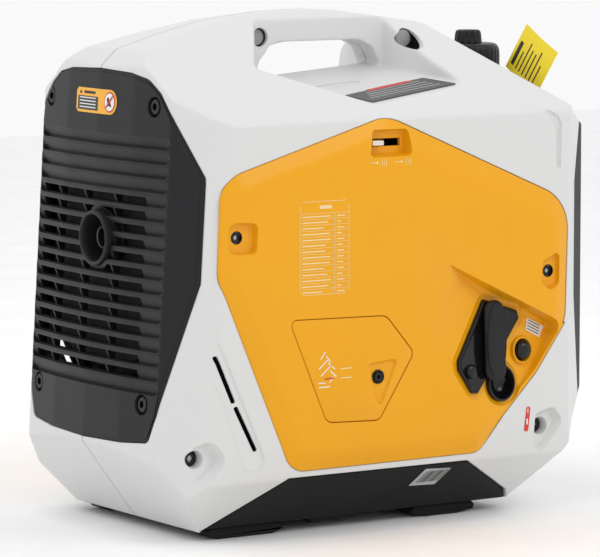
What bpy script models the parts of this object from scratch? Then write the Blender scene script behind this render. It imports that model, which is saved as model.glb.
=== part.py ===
"""Portable inverter generator: a suitcase-style casing round a small petrol engine.

Metres, +Z up. The origin is on the ground under the middle of the machine. +X is the control
panel end, -X the exhaust end, and -Y the side with the recoil starter.
"""
import math

import bmesh
import bpy
from mathutils import Matrix, Vector

# ---------------------------------------------------------------- driving dimensions
HALF_WIDTH = 0.1390          # flat flank of the white casing
COVER_FACE = 0.1450          # raised field of the side covers
FLANK_WIDTH = 0.018          # sloping band round that field
WALL = 0.003                 # moulded plastic wall
GAP = 0.0003                 # clearance between neighbours
CRANK_Z = 0.161              # crankshaft axis, along X at Y = 0
PULLEY_R = 0.033             # pitch radius of the starter pulley
ROPE_X = 0.1165
ROPE_Z = CRANK_Z - PULLEY_R
ROPE_R = 0.0022
CAP_X = 0.177                # fuel filler, on the centre plane
CAP_DECK = 0.380
BOSS_R = 0.040
EXHAUST = (-0.006, 0.2535)
PAN_FLOOR = 0.0105
FOOT_HEIGHT = PAN_FLOOR - GAP
REAR_FOOT = [(-0.166, FOOT_HEIGHT), (-0.160, 0.0020), (-0.152, 0.0), (-0.098, 0.0), (-0.086, 0.0040),
             (-0.070, FOOT_HEIGHT)]
FRONT_FOOT = [(0.034, FOOT_HEIGHT), (0.050, 0.0022), (0.064, 0.0), (0.096, 0.0), (0.114, 0.0030),
              (0.138, FOOT_HEIGHT)]

# Outlines as (X, Z) pairs unless a comment says otherwise.
CASING_SIDE = [
    (-0.174, 0.008), (-0.2285, 0.081), (-0.209, 0.397), (-0.191, 0.4135), (-0.150, 0.4255),
    (-0.107, 0.436), (-0.046, 0.4425), (-0.004, 0.4437), (0.028, 0.442), (0.102, 0.431),
    (0.132, 0.424), (0.227, 0.400), (0.227, 0.104), (0.214, 0.083), (0.144, 0.008),
]
CASING_END = [               # (Y, Z)
    (-0.104, 0.008), (0.104, 0.008), (0.137, 0.053), (HALF_WIDTH, 0.075), (HALF_WIDTH, 0.355),
    (0.018, 0.436), (0.008, 0.4437), (-0.008, 0.4437), (-0.018, 0.436), (-HALF_WIDTH, 0.355),
    (-HALF_WIDTH, 0.075), (-0.137, 0.053),
]
REAR_LEAN = 0.063            # the exhaust end leans in by this much for each metre of height
REAR_PLAN = [(-0.232, 0.0), (-0.230, 0.055), (-0.224, 0.108), (-0.1984, 0.130),
             (-0.181, 0.1405)]                                         # (X, Y) at ground level
FRONT_PLAN = [(0.188, 0.1405), (0.209, 0.118), (0.2275, 0.105)]        # (X, Y), upright
HANDLE_PLAN = [              # (X, Y) of what stands above the hand scoop, one side
    (-0.260, 0.180), (-0.140, 0.180), (-0.098, 0.074), (-0.063, 0.018), (0.070, 0.018),
    (0.076, 0.045), (0.0836, 0.068), (0.1015, 0.101), (0.130, 0.152), (0.130, 0.180),
    (0.260, 0.180),
]
HAND_HOLE = [(-0.064, 0.365), (-0.058, 0.398), (-0.046, 0.413), (-0.030, 0.416), (0.044, 0.416),
             (0.060, 0.409), (0.067, 0.396), (0.070, 0.365)]
# Sloping faces as (height at X = Y = 0, rise per metre of X, fall per metre of distance from Y = 0).
SCOOP_REAR = (0.3752, -0.297, 0.0889)
SCOOP_FRONT = (0.3888, 0.0822, 0.1866)
NOSE_SLOPE = (0.5073, -0.691, 0.099)

GRILLE_SIDE = [(-0.260, 0.3945), (-0.2065, 0.3945), (-0.1800, 0.311), (-0.1800, 0.223),
               (-0.2225, 0.094), (-0.224, 0.078), (-0.260, 0.078)]
GRILLE_END = [               # (Y, Z), one half from the top centre down
    (0.0, 0.3945), (0.050, 0.3935), (0.078, 0.390), (0.092, 0.379), (0.1285, 0.311),
    (0.1285, 0.223), (0.104, 0.094), (0.060, 0.084), (0.0, 0.080),
]
SLOT_COLUMNS = [(-0.0760, -0.0312), (-0.0288, 0.0182), (0.0208, 0.0668), (0.0692, 0.1000)]   # Y
SLOT_ROWS = 13
SLOT_LOWEST = 0.1440
SLOT_PITCH = 0.0121
PANEL_SIDE = [(0.260, 0.342), (0.220, 0.342), (0.2095, 0.290), (0.2095, 0.190), (0.2215, 0.096),
              (0.260, 0.096)]
BASE_SIDE = [(-0.171, PAN_FLOOR), (0.144, PAN_FLOOR), (0.139, 0.019), (0.081, 0.0527),
             (-0.104, 0.0527)]
COVER = [                    # outline and corner radius
    (-0.006, 0.358, 0.045), (-0.172, 0.310, 0.028), (-0.175, 0.226, 0.040), (-0.103, 0.058, 0.022),
    (0.092, 0.059, 0.016), (0.185, 0.168, 0.030), (0.188, 0.276, 0.040),
]
DOOR = [(-0.109, 0.189, 0.005), (-0.010, 0.187, 0.012), (0.019, 0.153, 0.008),
        (-0.017, 0.097, 0.008), (-0.071, 0.099, 0.010)]
DOOR_ACCESS = [(-0.098, 0.181), (-0.034, 0.179), (-0.034, 0.106), (-0.066, 0.107)]
DOOR_SCREW = (-0.0175, 0.1345)
DOOR_HINGE = (-0.060, -0.1452, 0.1888)       # its axis runs along X at the door's top edge
CHOKE_WINDOW = [(-0.026, 0.324), (0.015, 0.324), (0.015, 0.3455), (-0.022, 0.3455)]
RECOIL_MOUTH = [(0.050, 0.2290), (0.178, 0.166), (0.150, 0.128), (0.101, 0.079), (0.030, 0.1737)]
RECOIL_PLATE = [(0.100, 0.193), (0.139, 0.1805), (0.141, 0.1735), (0.086, 0.112), (0.079, 0.113),
                (0.0655, 0.134), (0.0655, 0.142)]
POCKET_TILT = 0.19           # the pocket deepens this much per metre from its lower left edge
POCKET_EDGE = (0.036, 0.166, 0.787, 0.617)   # a point (X, Z) on that edge and the way in from it
POCKET_RAMP = (0.056, 0.226, 0.949, -0.316)
RAMP_TILT = 0.46
PRIMER = (0.142, 0.1455)

CONTROL_WINDOW = [(-0.078, 0.128), (0.078, 0.128), (0.078, 0.300), (-0.078, 0.300)]   # (Y, Z)
CONTROL_FACE = 0.2215
AC_SOCKETS = ((-0.036, 0.166), (0.036, 0.166))                          # (Y, Z), and so on below
DC_SOCKET = (-0.048, 0.226)
BREAKER = (0.000, 0.226)
ECO_ROCKER = (0.044, 0.226)
RUN_SWITCH = (0.044, 0.272)
LAMPS = (-0.040, 0.272)
GROUND = (0.000, 0.143)

TANK_PLAN = [(0.056, -0.100), (0.176, -0.100), (0.192, -0.086), (0.192, 0.086), (0.176, 0.100),
             (0.056, 0.100), (0.046, 0.086), (0.046, -0.086)]           # (X, Y)
TAG_WIDTH = 0.045
TAG_LENGTH = 0.046
CYL_X = -0.010               # cylinder axis, upright over the crankshaft
MOUNTS = ((-0.046, -0.046), (-0.046, 0.046), (0.028, -0.046), (0.028, 0.046))   # (X, Y)
DIPSTICK = (-0.045, 0.096)   # (X, Z)

WHITE = (0.80, 0.80, 0.78)
YELLOW = (0.80, 0.40, 0.01)
BLACK = (0.02, 0.02, 0.022)
GREY = (0.10, 0.10, 0.11)
STEEL = (0.55, 0.55, 0.56)
CAST = (0.38, 0.38, 0.39)


# ---------------------------------------------------------------- mesh helpers
def clear_scene():
    for thing in list(bpy.data.objects):
        bpy.data.objects.remove(thing, do_unlink=True)


def link(name, mesh):
    thing = bpy.data.objects.new(name, mesh)
    bpy.context.collection.objects.link(thing)
    return thing


def from_rings(name, rings):
    """A closed solid skinned over equal rings of points, with flat ends."""
    mesh = bmesh.new()
    loops = [[mesh.verts.new(point) for point in ring] for ring in rings]
    count = len(rings[0])
    for low, high in zip(loops, loops[1:]):
        for i in range(count):
            j = (i + 1) % count
            mesh.faces.new((low[i], low[j], high[j], high[i]))
    mesh.faces.new(list(reversed(loops[0])))
    mesh.faces.new(loops[-1])
    bmesh.ops.recalc_face_normals(mesh, faces=mesh.faces)
    data = bpy.data.meshes.new(name)
    mesh.to_mesh(data)
    mesh.free()
    return link(name, data)


def place(axis, pair, along):
    """A point from an outline pair and a distance along the extrusion axis."""
    a, b = pair
    return {"X": (along, a, b), "Y": (a, along, b), "Z": (a, b, along)}[axis]


def prism(name, outline, axis, start, end):
    rings = [[place(axis, pair, along) for pair in outline] for along in (start, end)]
    return from_rings(name, rings)


def box(name, low, high):
    corners = [(low[0], low[1]), (high[0], low[1]), (high[0], high[1]), (low[0], high[1])]
    return prism(name, corners, "Z", low[2], high[2])


def circle(radius, segments, centre=(0.0, 0.0)):
    step = 2 * math.pi / segments
    return [(centre[0] + radius * math.cos(i * step), centre[1] + radius * math.sin(i * step))
            for i in range(segments)]


def cylinder(name, radius, axis, centre, start, end, segments=24):
    return prism(name, circle(radius, segments, centre), axis, start, end)


def tube(name, outer, inner, axis, centre, start, end, segments=24):
    body = cylinder(name, outer, axis, centre, start, end, segments)
    return cut(body, cylinder("bore", inner, axis, centre, start - 0.01, end + 0.01, segments))


def turned(name, profile, axis, centre, segments=24):
    """Skin over circles: profile is (distance along the axis, radius) pairs."""
    rings = [[place(axis, pair, along) for pair in circle(radius, segments, centre)]
             for along, radius in profile]
    return from_rings(name, rings)


def offset(outline, distance):
    """The outline moved outward by distance, or inward where it is negative."""
    area = sum(a[0] * b[1] - b[0] * a[1] for a, b in zip(outline, outline[1:] + outline[:1]))
    side = 1.0 if area > 0 else -1.0
    moved = []
    for i, point in enumerate(outline):
        before = Vector(point) - Vector(outline[i - 1])
        after = Vector(outline[(i + 1) % len(outline)]) - Vector(point)
        n1 = Vector((before.y, -before.x)).normalized() * side
        n2 = Vector((after.y, -after.x)).normalized() * side
        corner = (n1 + n2) / (1.0 + n1.dot(n2))
        moved.append((point[0] + corner.x * distance, point[1] + corner.y * distance))
    return moved


def rounded(corners, steps=4):
    """An outline from (a, b, radius) corners, each turned into an arc."""
    points = []
    for i, (a, b, radius) in enumerate(corners):
        here = Vector((a, b))
        back = (Vector(corners[i - 1][:2]) - here).normalized()
        ahead = (Vector(corners[(i + 1) % len(corners)][:2]) - here).normalized()
        half = back.angle(ahead) / 2
        centre = here + (back + ahead).normalized() * radius / math.sin(half)
        first = here + back * radius / math.tan(half) - centre
        last = here + ahead * radius / math.tan(half) - centre
        for k in range(steps + 1):
            arm = first.lerp(last, k / steps).normalized() * radius
            points.append(tuple(centre + arm))
    return points


def combine(target, tool, operation):
    """Apply a Boolean at once and drop the tool. EXACT leaves gaps in the casing's thin walls."""
    step = target.modifiers.new(operation, "BOOLEAN")
    step.operation = operation
    step.solver = "MANIFOLD"
    step.object = tool
    depsgraph = bpy.context.evaluated_depsgraph_get()
    depsgraph.update()
    result = bpy.data.meshes.new_from_object(target.evaluated_get(depsgraph))
    target.modifiers.clear()
    target.data = result
    bpy.data.objects.remove(tool, do_unlink=True)
    return target


def cut(target, *tools):
    for tool in tools:
        combine(target, tool, "DIFFERENCE")
    return target


def join(target, *tools):
    for tool in tools:
        combine(target, tool, "UNION")
    return target


def common(target, *tools):
    for tool in tools:
        combine(target, tool, "INTERSECT")
    return target


def tidy(thing):
    """Close up the slivers that the Booleans leave."""
    mesh = bmesh.new()
    mesh.from_mesh(thing.data)
    bmesh.ops.remove_doubles(mesh, verts=mesh.verts, dist=0.00002)
    bmesh.ops.dissolve_degenerate(mesh, edges=mesh.edges, dist=0.00002)
    mesh.to_mesh(thing.data)
    mesh.free()
    return thing


def turn_about(thing, x, y, z):
    """Put the object's origin on its joint's axis without moving its shape."""
    thing.data.transform(Matrix.Translation((-x, -y, -z)))
    thing.location = (x, y, z)
    return thing


def mirrored(outline):
    """One half of a closed outline, (a, b) with b >= 0, joined to its mirror image in b = 0."""
    return outline + [(a, -b) for a, b in reversed(outline)]


def finish(thing, name, colour, roughness, metallic=0.0):
    thing.name = name
    material = bpy.data.materials.new(name)
    material.use_nodes = True
    shader = material.node_tree.nodes["Principled BSDF"]
    shader.inputs["Base Color"].default_value = (*colour, 1.0)
    shader.inputs["Roughness"].default_value = roughness
    shader.inputs["Metallic"].default_value = metallic
    thing.data.materials.clear()
    thing.data.materials.append(material)
    return thing


# ---------------------------------------------------------------- casing form
def height(face, x, y):
    return face[0] + face[1] * x - face[2] * abs(y)


def above(face, x_range, y_range):
    """The block that stands on a sloping face, up to well over the machine."""
    (x0, x1), (y0, y1) = x_range, y_range
    corners = [(x0, y0), (x1, y0), (x1, y1), (x0, y1)]
    low = [(x, y, height(face, x, y)) for x, y in corners]
    high = [(x, y, 0.6) for x, y in corners]
    return from_rings("above", [low, high])


def lowered(face, distance):
    return (face[0] - distance, face[1], face[2])


def scoop(inset):
    """What the hand scoop takes away: above both of its faces and outside the handle."""
    taken = None
    for low, high in ((-0.2, 0.0), (0.0, 0.2)):
        part = common(above(lowered(SCOOP_REAR, inset), (-0.25, 0.25), (low, high)),
                      above(lowered(SCOOP_FRONT, inset), (-0.25, 0.25), (low, high)))
        taken = part if taken is None else join(taken, part)
    handle = prism("handle", offset(mirrored(HANDLE_PLAN), -inset), "Z", 0.3, 0.7)
    hole = prism("hole", offset(HAND_HOLE, inset), "Y", -0.019, 0.019)
    return cut(taken, cut(handle, hole))


def plan_block(inset):
    """The casing seen from above, with the leaning exhaust end."""
    rings = []
    for level in (-0.02, 0.5):
        lean = REAR_LEAN * level
        half = [(x + lean, y) for x, y in REAR_PLAN] + FRONT_PLAN
        outline = half + [(x, -y) for x, y in reversed(half[1:])]
        rings.append([(x, y, level) for x, y in offset(outline, -inset)])
    return from_rings("plan", rings)


def casing_form(inset=0.0):
    form = prism("casing", offset(CASING_SIDE, -inset), "Y", -0.2, 0.2)
    common(form, prism("end", offset(CASING_END, -inset), "X", -0.3, 0.3), plan_block(inset))
    for low, high in ((-0.2, 0.0), (0.0, 0.2)):
        cut(form, above(lowered(NOSE_SLOPE, inset * 1.2), (0.10, 0.30), (low, high)))
    return cut(form, scoop(inset))


def grille_zone(shrink):
    zone = prism("zone", offset(GRILLE_SIDE, -shrink), "Y", -0.2, 0.2)
    end = GRILLE_END + [(-y, z) for y, z in reversed(GRILLE_END[1:-1])]
    return common(zone, prism("end", offset(end, -shrink), "X", -0.3, 0.0))


def cover_outline(shrink):
    moved = offset([corner[:2] for corner in COVER], -shrink)
    return rounded([(x, z, max(corner[2] - shrink, 0.004)) for (x, z), corner in zip(moved, COVER)])


def cover_form(side, inset):
    """A side cover's outer form: a raised field with sloping flanks. side is -1 or 1."""
    rim = cover_outline(GAP)
    field = cover_outline(GAP + FLANK_WIDTH + inset)
    levels = ((rim, 0.10), (rim, HALF_WIDTH - 0.0005 - inset), (field, COVER_FACE - inset))
    rings = [[(x, side * level, z) for x, z in outline] for outline, level in levels]
    return from_rings("cover", rings)


# ---------------------------------------------------------------- casing parts
def build_shells():
    walls = casing_form()
    join(walls, cylinder("boss", BOSS_R, "Z", (CAP_X, 0.0), 0.325, CAP_DECK + 0.003, 32))
    hollow = casing_form(WALL)
    cut(hollow, cylinder("floor", 0.0440, "Z", (CAP_X, 0.0), CAP_DECK - WALL, 0.5, 32))
    join(hollow, cylinder("boss_inside", BOSS_R - WALL, "Z", (CAP_X, 0.0), 0.330, CAP_DECK - 0.0035,
                          32))
    cut(walls, hollow)
    cut(walls, cylinder("recess", 0.0365, "Z", (CAP_X, 0.0), CAP_DECK, 0.5, 32),
        cylinder("neck", 0.0245, "Z", (CAP_X, 0.0), 0.3, 0.5, 32))
    cut(walls, grille_zone(0.0), prism("panel", PANEL_SIDE, "Y", -0.2, 0.2))
    pan_space = [(-0.1725, -0.02), (0.1480, -0.02), (0.1460, PAN_FLOOR), (0.1402, 0.0195),
                 (0.0813, 0.0532), (-0.1043, 0.0532), (-0.1725, PAN_FLOOR - 0.0004)]
    cut(walls, prism("pan", pan_space, "Y", -0.2, 0.2))
    outline = rounded(COVER)
    for side in (-1, 1):
        flange = prism("flange", offset(outline, 0.005), "Y", side * 0.1315, side * 0.1372)
        join(walls, common(flange, casing_form(0.001)))
        cut(walls, prism("seat", outline, "Y", side * 0.1352, side * 0.2),
            prism("opening", offset(outline, -0.008), "Y", side * 0.12, side * 0.2))
    cut(walls, prism("recoil_room", offset(RECOIL_MOUTH, 0.0045), "Y", -0.11, -0.1353),
        prism("choke_room", offset(CHOKE_WINDOW, 0.009), "Y", -0.11, -0.1353))
    for name, side in (("shell_right", -1), ("shell_left", 1)):
        half = link(name, walls.data.copy())
        low, high = sorted((side * GAP / 2, side * 0.2))
        common(half, box("half", (-0.3, low, -0.1), (0.3, high, 0.6)))
        finish(tidy(half), name, WHITE, 0.35)
    bpy.data.objects.remove(walls, do_unlink=True)


def build_grille():
    plate = common(casing_form(), grille_zone(GAP))
    cut(plate, casing_form(0.004))
    slots = None
    for row in range(SLOT_ROWS):
        z = SLOT_LOWEST + SLOT_PITCH * row
        for low, high in SLOT_COLUMNS:
            slot = box("slot", (-0.3, low, z - 0.003), (-0.1, high, z + 0.003))
            slots = slot if slots is None else merge(slots, slot)
    ring_guard = cylinder("guard", 0.0285, "X", EXHAUST, -0.4, 0.0, 24)
    cut(slots, ring_guard)
    cut(plate, slots, cylinder("hole", 0.0240, "X", EXHAUST, -0.4, 0.0, 24))
    finish(tidy(plate), "rear_grille", BLACK, 0.5)
    ring = turned("ring", [(-0.2188, 0.0232), (-0.2180, 0.0236), (-0.2020, 0.0236)], "X", EXHAUST)
    cut(ring, turned("bore", [(-0.24, 0.0200), (-0.2180, 0.0196), (-0.2100, 0.0186), (-0.19, 0.0180)], "X",
                     EXHAUST))
    finish(ring, "exhaust_ring", BLACK, 0.45)


def merge(first, second):
    """Two separate tools as one mesh."""
    mesh = bmesh.new()
    mesh.from_mesh(first.data)
    mesh.from_mesh(second.data)
    mesh.to_mesh(first.data)
    mesh.free()
    bpy.data.objects.remove(second, do_unlink=True)
    return first


def build_front():
    panel = common(casing_form(), prism("zone", offset(PANEL_SIDE, -GAP), "Y", -0.2, 0.2))
    cut(panel, casing_form(0.004), prism("window", CONTROL_WINDOW, "X", 0.1, 0.3))
    finish(tidy(panel), "front_panel", BLACK, 0.5)
    plate = prism("plate", offset(CONTROL_WINDOW, -0.0005), "X", CONTROL_FACE - 0.004, CONTROL_FACE)
    for y, z in AC_SOCKETS:
        cut(plate, cylinder("ac", 0.0245, "X", (y, z), 0.1, 0.3))
    cut(plate, cylinder("dc", 0.0145, "X", DC_SOCKET, 0.1, 0.3),
        cylinder("breaker", 0.0082, "X", BREAKER, 0.1, 0.3),
        cylinder("ground", 0.0042, "X", GROUND, 0.1, 0.3, 12),
        prism("eco", around(ECO_ROCKER, 0.0108, 0.0078), "X", 0.1, 0.3),
        prism("run", around(RUN_SWITCH, 0.0108, 0.0078), "X", 0.1, 0.3),
        prism("lamps", around(LAMPS, 0.0208, 0.0058), "X", 0.1, 0.3))
    finish(plate, "control_plate", GREY, 0.45)
    for number, (y, z) in enumerate(AC_SOCKETS, start=1):
        build_ac_socket("ac_socket_%d" % number, y, z)
    socket = cylinder("dc", 0.0141, "X", DC_SOCKET, 0.2035, 0.2240)
    cut(socket, cylinder("bore", 0.0105, "X", DC_SOCKET, 0.2060, 0.23))
    finish(socket, "dc_socket", BLACK, 0.4)
    button = turned("breaker", [(0.2085, 0.0078), (0.2245, 0.0078), (0.2255, 0.0068)], "X", BREAKER)
    turn_about(button, 0.2255, *BREAKER)
    finish(button, "breaker_button", (0.6, 0.05, 0.03), 0.4)
    for name, centre in (("eco_rocker", ECO_ROCKER), ("run_switch", RUN_SWITCH)):
        build_rocker(name, centre)
    finish(prism("lamps", around(LAMPS, 0.0204, 0.0054), "X", 0.2150, 0.2230), "status_lamps",
           (0.15, 0.02, 0.02), 0.2)
    stud = turned("ground", [(0.2050, 0.0038), (CONTROL_FACE + GAP, 0.0038), (0.2226, 0.0075),
                             (0.2255, 0.0075)], "X", GROUND, 12)
    turn_about(stud, 0.2220, *GROUND)
    finish(stud, "ground_terminal", (0.70, 0.50, 0.20), 0.3, 1.0)


def around(centre, half_width, half_height):
    y, z = centre
    return [(y - half_width, z - half_height), (y + half_width, z - half_height),
            (y + half_width, z + half_height), (y - half_width, z + half_height)]


def build_ac_socket(name, y, z):
    face = 0.2240
    socket = cylinder(name, 0.0241, "X", (y, z), 0.2035, face, 32)
    cut(socket, cylinder("well", 0.0200, "X", (y, z), 0.2195, 0.23, 32))
    for dy, dz, w, h in ((-0.0064, 0.003, 0.0022, 0.0085), (0.0064, 0.003, 0.0022, 0.0085),
                         (0.0, -0.0095, 0.0050, 0.0050)):
        cut(socket, box("pin", (0.2060, y + dy - w / 2, z + dz - h / 2),
                        (0.23, y + dy + w / 2, z + dz + h / 2)))
    finish(socket, name, BLACK, 0.4)


def build_rocker(name, centre):
    y, z = centre
    rocker = prism(name, [(0.2140, z - 0.0062), (0.2245, z - 0.0068), (0.2232, z), (0.2258, z + 0.0068),
                          (0.2140, z + 0.0062)], "Y", y - 0.0098, y + 0.0098)
    turn_about(rocker, 0.2170, y, z)
    finish(rocker, name, BLACK, 0.35)


def pocket_floor(x, z):
    """|Y| of the recoil pocket's slanting floor."""
    x0, z0, in_x, in_z = POCKET_EDGE
    return COVER_FACE - POCKET_TILT * ((x - x0) * in_x + (z - z0) * in_z)


def ramp_floor(x, z):
    """|Y| of the ramp that leads from the cover's field down to the pocket's floor."""
    x0, z0, in_x, in_z = POCKET_RAMP
    return COVER_FACE - RAMP_TILT * ((x - x0) * in_x + (z - z0) * in_z)


def on_floor(name, layers):
    """A piece that lies on the slanting floor: layers are (outline, height above the floor) pairs."""
    return from_rings(name, [[(x, -(pocket_floor(x, z) + lift), z) for x, z in outline]
                             for outline, lift in layers])


def pocketed(form, inset):
    """Sink the choke window and the recoil pocket into the recoil side's cover."""
    choke = offset(CHOKE_WINDOW, inset)
    cut(form, prism("choke", choke, "Y", -0.2, -(0.1335 - inset)))
    mouth = offset(RECOIL_MOUTH, inset)
    pocket = on_floor("pocket", [(mouth, -inset), (offset(mouth, 0.004), 0.06)])
    ramp = [(0.0, 0.05), (0.25, 0.05), (0.25, 0.30), (0.0, 0.30)]
    rings = [[(x, -(ramp_floor(x, z) + lift), z) for x, z in ramp] for lift in (-inset, 0.15)]
    return cut(form, common(pocket, from_rings("ramp", rings)))


def build_covers():
    plain = cut(cover_form(1, 0.0), cover_form(1, WALL))
    cut(plain, box("hollow", (-0.3, 0.0, 0.0), (0.3, 0.1356, 0.5)))
    finish(tidy(plain), "side_cover_left", YELLOW, 0.35)

    cover = pocketed(cover_form(-1, 0.0), 0.0)
    inside = pocketed(cover_form(-1, WALL), WALL)
    door = rounded(DOOR)
    cut(inside, prism("door_flange", offset(door, 0.003), "Y", -0.1385, -0.2))
    cut(cover, inside)
    rim = offset(RECOIL_MOUTH, 0.020)
    behind = cut(box("hollow", (-0.3, -0.1356, 0.0), (0.3, 0.0, 0.5)),
                 prism("keep", rim, "Y", -0.12, -0.2),
                 prism("keep_choke", offset(CHOKE_WINDOW, 0.008), "Y", -0.125, -0.2))
    cut(cover, behind)
    cut(cover, prism("door_seat", door, "Y", -0.1417, -0.2),
        prism("access", DOOR_ACCESS, "Y", -0.12, -0.2),
        cylinder("door_screw_hole", 0.0032, "Y", DOOR_SCREW, -0.12, -0.2, 12),
        box("choke_slot", (-0.023, -0.2, 0.3315), (0.011, -0.11, 0.3375)),
        cylinder("rope_hole", 0.0100, "Y", (ROPE_X, ROPE_Z), -0.11, -0.2, 20),
        cylinder("primer_hole", 0.0095, "Y", PRIMER, -0.11, -0.2, 20))
    finish(tidy(cover), "side_cover_right", YELLOW, 0.35)


def build_door():
    door = prism("door", offset(rounded(DOOR), -0.0004), "Y", -0.1420, -COVER_FACE)
    recess = [(-0.0275, 0.1440), (0.000, 0.1470), (-0.0165, 0.1080)]
    cut(door, prism("recess", recess, "Y", -0.1434, -0.2),
        cylinder("hole", 0.0026, "Y", DOOR_SCREW, -0.13, -0.2, 12))
    turn_about(door, *DOOR_HINGE)
    finish(door, "maintenance_door", YELLOW, 0.35)
    screw = turned("screw", [(-0.1340, 0.0018), (-0.1437, 0.0018), (-0.1438, 0.0040),
                             (-0.1447, 0.0040)], "Y", DOOR_SCREW, 16)
    turn_about(screw, DOOR_SCREW[0], -0.1437, DOOR_SCREW[1])
    finish(screw, "door_screw", BLACK, 0.3, 0.6)


def build_base():
    pan = prism("pan", BASE_SIDE, "Y", -0.2, 0.2)
    common(pan, prism("end", CASING_END, "X", -0.3, 0.3))
    inner = prism("inner", [(-0.160, PAN_FLOOR + WALL), (0.133, PAN_FLOOR + WALL), (0.131, 0.0203),
                            (0.080, 0.0487), (0.080, 0.1), (-0.103, 0.1), (-0.103, 0.0487)],
                  "Y", -0.2, 0.2)
    common(inner, prism("inner_end", offset(CASING_END, -WALL), "X", -0.3, 0.3))
    cut(pan, inner)
    finish(tidy(pan), "base_pan", BLACK, 0.6)
    for place_name, profile in (("rear", REAR_FOOT), ("front", FRONT_FOOT)):
        for side_name, low in (("right", -0.101), ("left", 0.072)):
            name = "foot_%s_%s" % (place_name, side_name)
            finish(prism(name, profile, "Y", low, low + 0.029), name, BLACK, 0.8)


def build_scoop_plate():
    """The dark plate that lies on the recoil side of the scoop's front face."""
    corners = [(-0.004, -0.1145), (0.0955, -0.0975), (0.0795, -0.0690), (-0.0145, -0.0870)]
    rings = [[(x, y, height(SCOOP_FRONT, x, y) + lift) for x, y in corners]
             for lift in (0.0005, 0.0013)]
    finish(from_rings("plate", rings), "deck_plate", GREY, 0.4)


# ---------------------------------------------------------------- starter, choke, fuel
def build_recoil():
    guide = (ROPE_X - 0.0015, ROPE_Z - 0.009)
    plate = on_floor("plate", [(RECOIL_PLATE, GAP), (RECOIL_PLATE, 0.0015)])
    cut(plate, cylinder("clear", 0.0166, "Y", guide, -0.1, -0.2, 24))
    finish(plate, "recoil_plate", BLACK, 0.1)
    cup = on_floor("cup", [(circle(0.0160, 24, guide), GAP), (circle(0.0160, 24, guide), 0.0022),
                           (circle(0.0148, 24, guide), 0.0030)])
    cut(cup, cylinder("bore", 0.0045, "Y", (ROPE_X, ROPE_Z), -0.1, -0.2, 16))
    finish(cup, "rope_guide", BLACK, 0.15)

    outline = rounded([(0.0930, 0.1235, 0.008), (0.1165, 0.1220, 0.008), (0.1195, 0.1910, 0.010),
                       (0.0970, 0.1930, 0.010)])
    layers = ((0.0034, 0.003), (0.0052, 0.0), (0.0084, 0.0), (0.0101, 0.003))
    grip = on_floor("grip", [(offset(outline, -shrink), lift) for lift, shrink in layers])
    rope_end = -(pocket_floor(ROPE_X, ROPE_Z) + 0.0080)
    cut(grip, cylinder("knot", 0.0026, "Y", (ROPE_X, ROPE_Z), -0.12, rope_end - GAP, 16))
    turn_about(grip, ROPE_X, rope_end, ROPE_Z)
    finish(grip, "recoil_grip", BLACK, 0.6)
    rope = cylinder("rope", ROPE_R, "Y", (ROPE_X, ROPE_Z), 0.0, rope_end, 10)
    turn_about(rope, ROPE_X, rope_end, ROPE_Z)
    finish(rope, "starter_rope", (0.05, 0.05, 0.05), 0.9)

    build_starter()
    bulb = turned("bulb", [(-0.1180, 0.0090), (-0.1340, 0.0090), (-0.1375, 0.0078), (-0.1395, 0.0045)],
                  "Y", PRIMER, 20)
    turn_about(bulb, PRIMER[0], -0.1395, PRIMER[1])
    finish(bulb, "primer_bulb", BLACK, 0.15)


def build_starter():
    side = ROPE_R + 0.0008
    pulley = turned("pulley", [(ROPE_X - 0.0075, 0.0365), (ROPE_X - side - 0.001, 0.0365),
                               (ROPE_X - side, 0.0302), (ROPE_X + side, 0.0302),
                               (ROPE_X + side + 0.001, 0.0365), (ROPE_X + 0.0075, 0.0365)], "X",
                    (0.0, CRANK_Z), 28)
    cut(pulley, cylinder("bore", 0.0085, "X", (0.0, CRANK_Z), 0.0, 0.3, 20),
        cylinder("window", 0.0055, "X", (0.0195, CRANK_Z), 0.0, 0.3, 12))
    turn_about(pulley, ROPE_X, 0.0, CRANK_Z)
    finish(pulley, "starter_pulley", GREY, 0.5)
    housing = turned("housing", [(0.1075, 0.0800), (0.1270, 0.0800), (0.1330, 0.0740)], "X",
                     (0.0, CRANK_Z), 28)
    cut(housing, cylinder("inside", 0.0770, "X", (0.0, CRANK_Z), 0.10, 0.1285, 28))
    join(housing, cylinder("post", 0.0080, "X", (0.0, CRANK_Z), 0.1088, 0.1300, 20))
    cut(housing, box("rope_way", (ROPE_X - 0.006, -0.10, ROPE_Z - 0.006),
                     (ROPE_X + 0.006, -0.05, ROPE_Z + 0.006)))
    for i in range(6):
        angle = math.radians(60 * i)
        centre = (0.047 * math.cos(angle), CRANK_Z + 0.047 * math.sin(angle))
        cut(housing, cylinder("vent", 0.010, "X", centre, 0.125, 0.14, 12))
    finish(tidy(housing), "starter_housing", BLACK, 0.5)


def build_choke():
    lever = box("lever", (-0.0215, -0.1405, 0.3330), (-0.0095, -0.0800, 0.3350))
    turn_about(lever, -0.0155, -0.1405, 0.3340)
    finish(lever, "choke_lever", STEEL, 0.35, 1.0)


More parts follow.
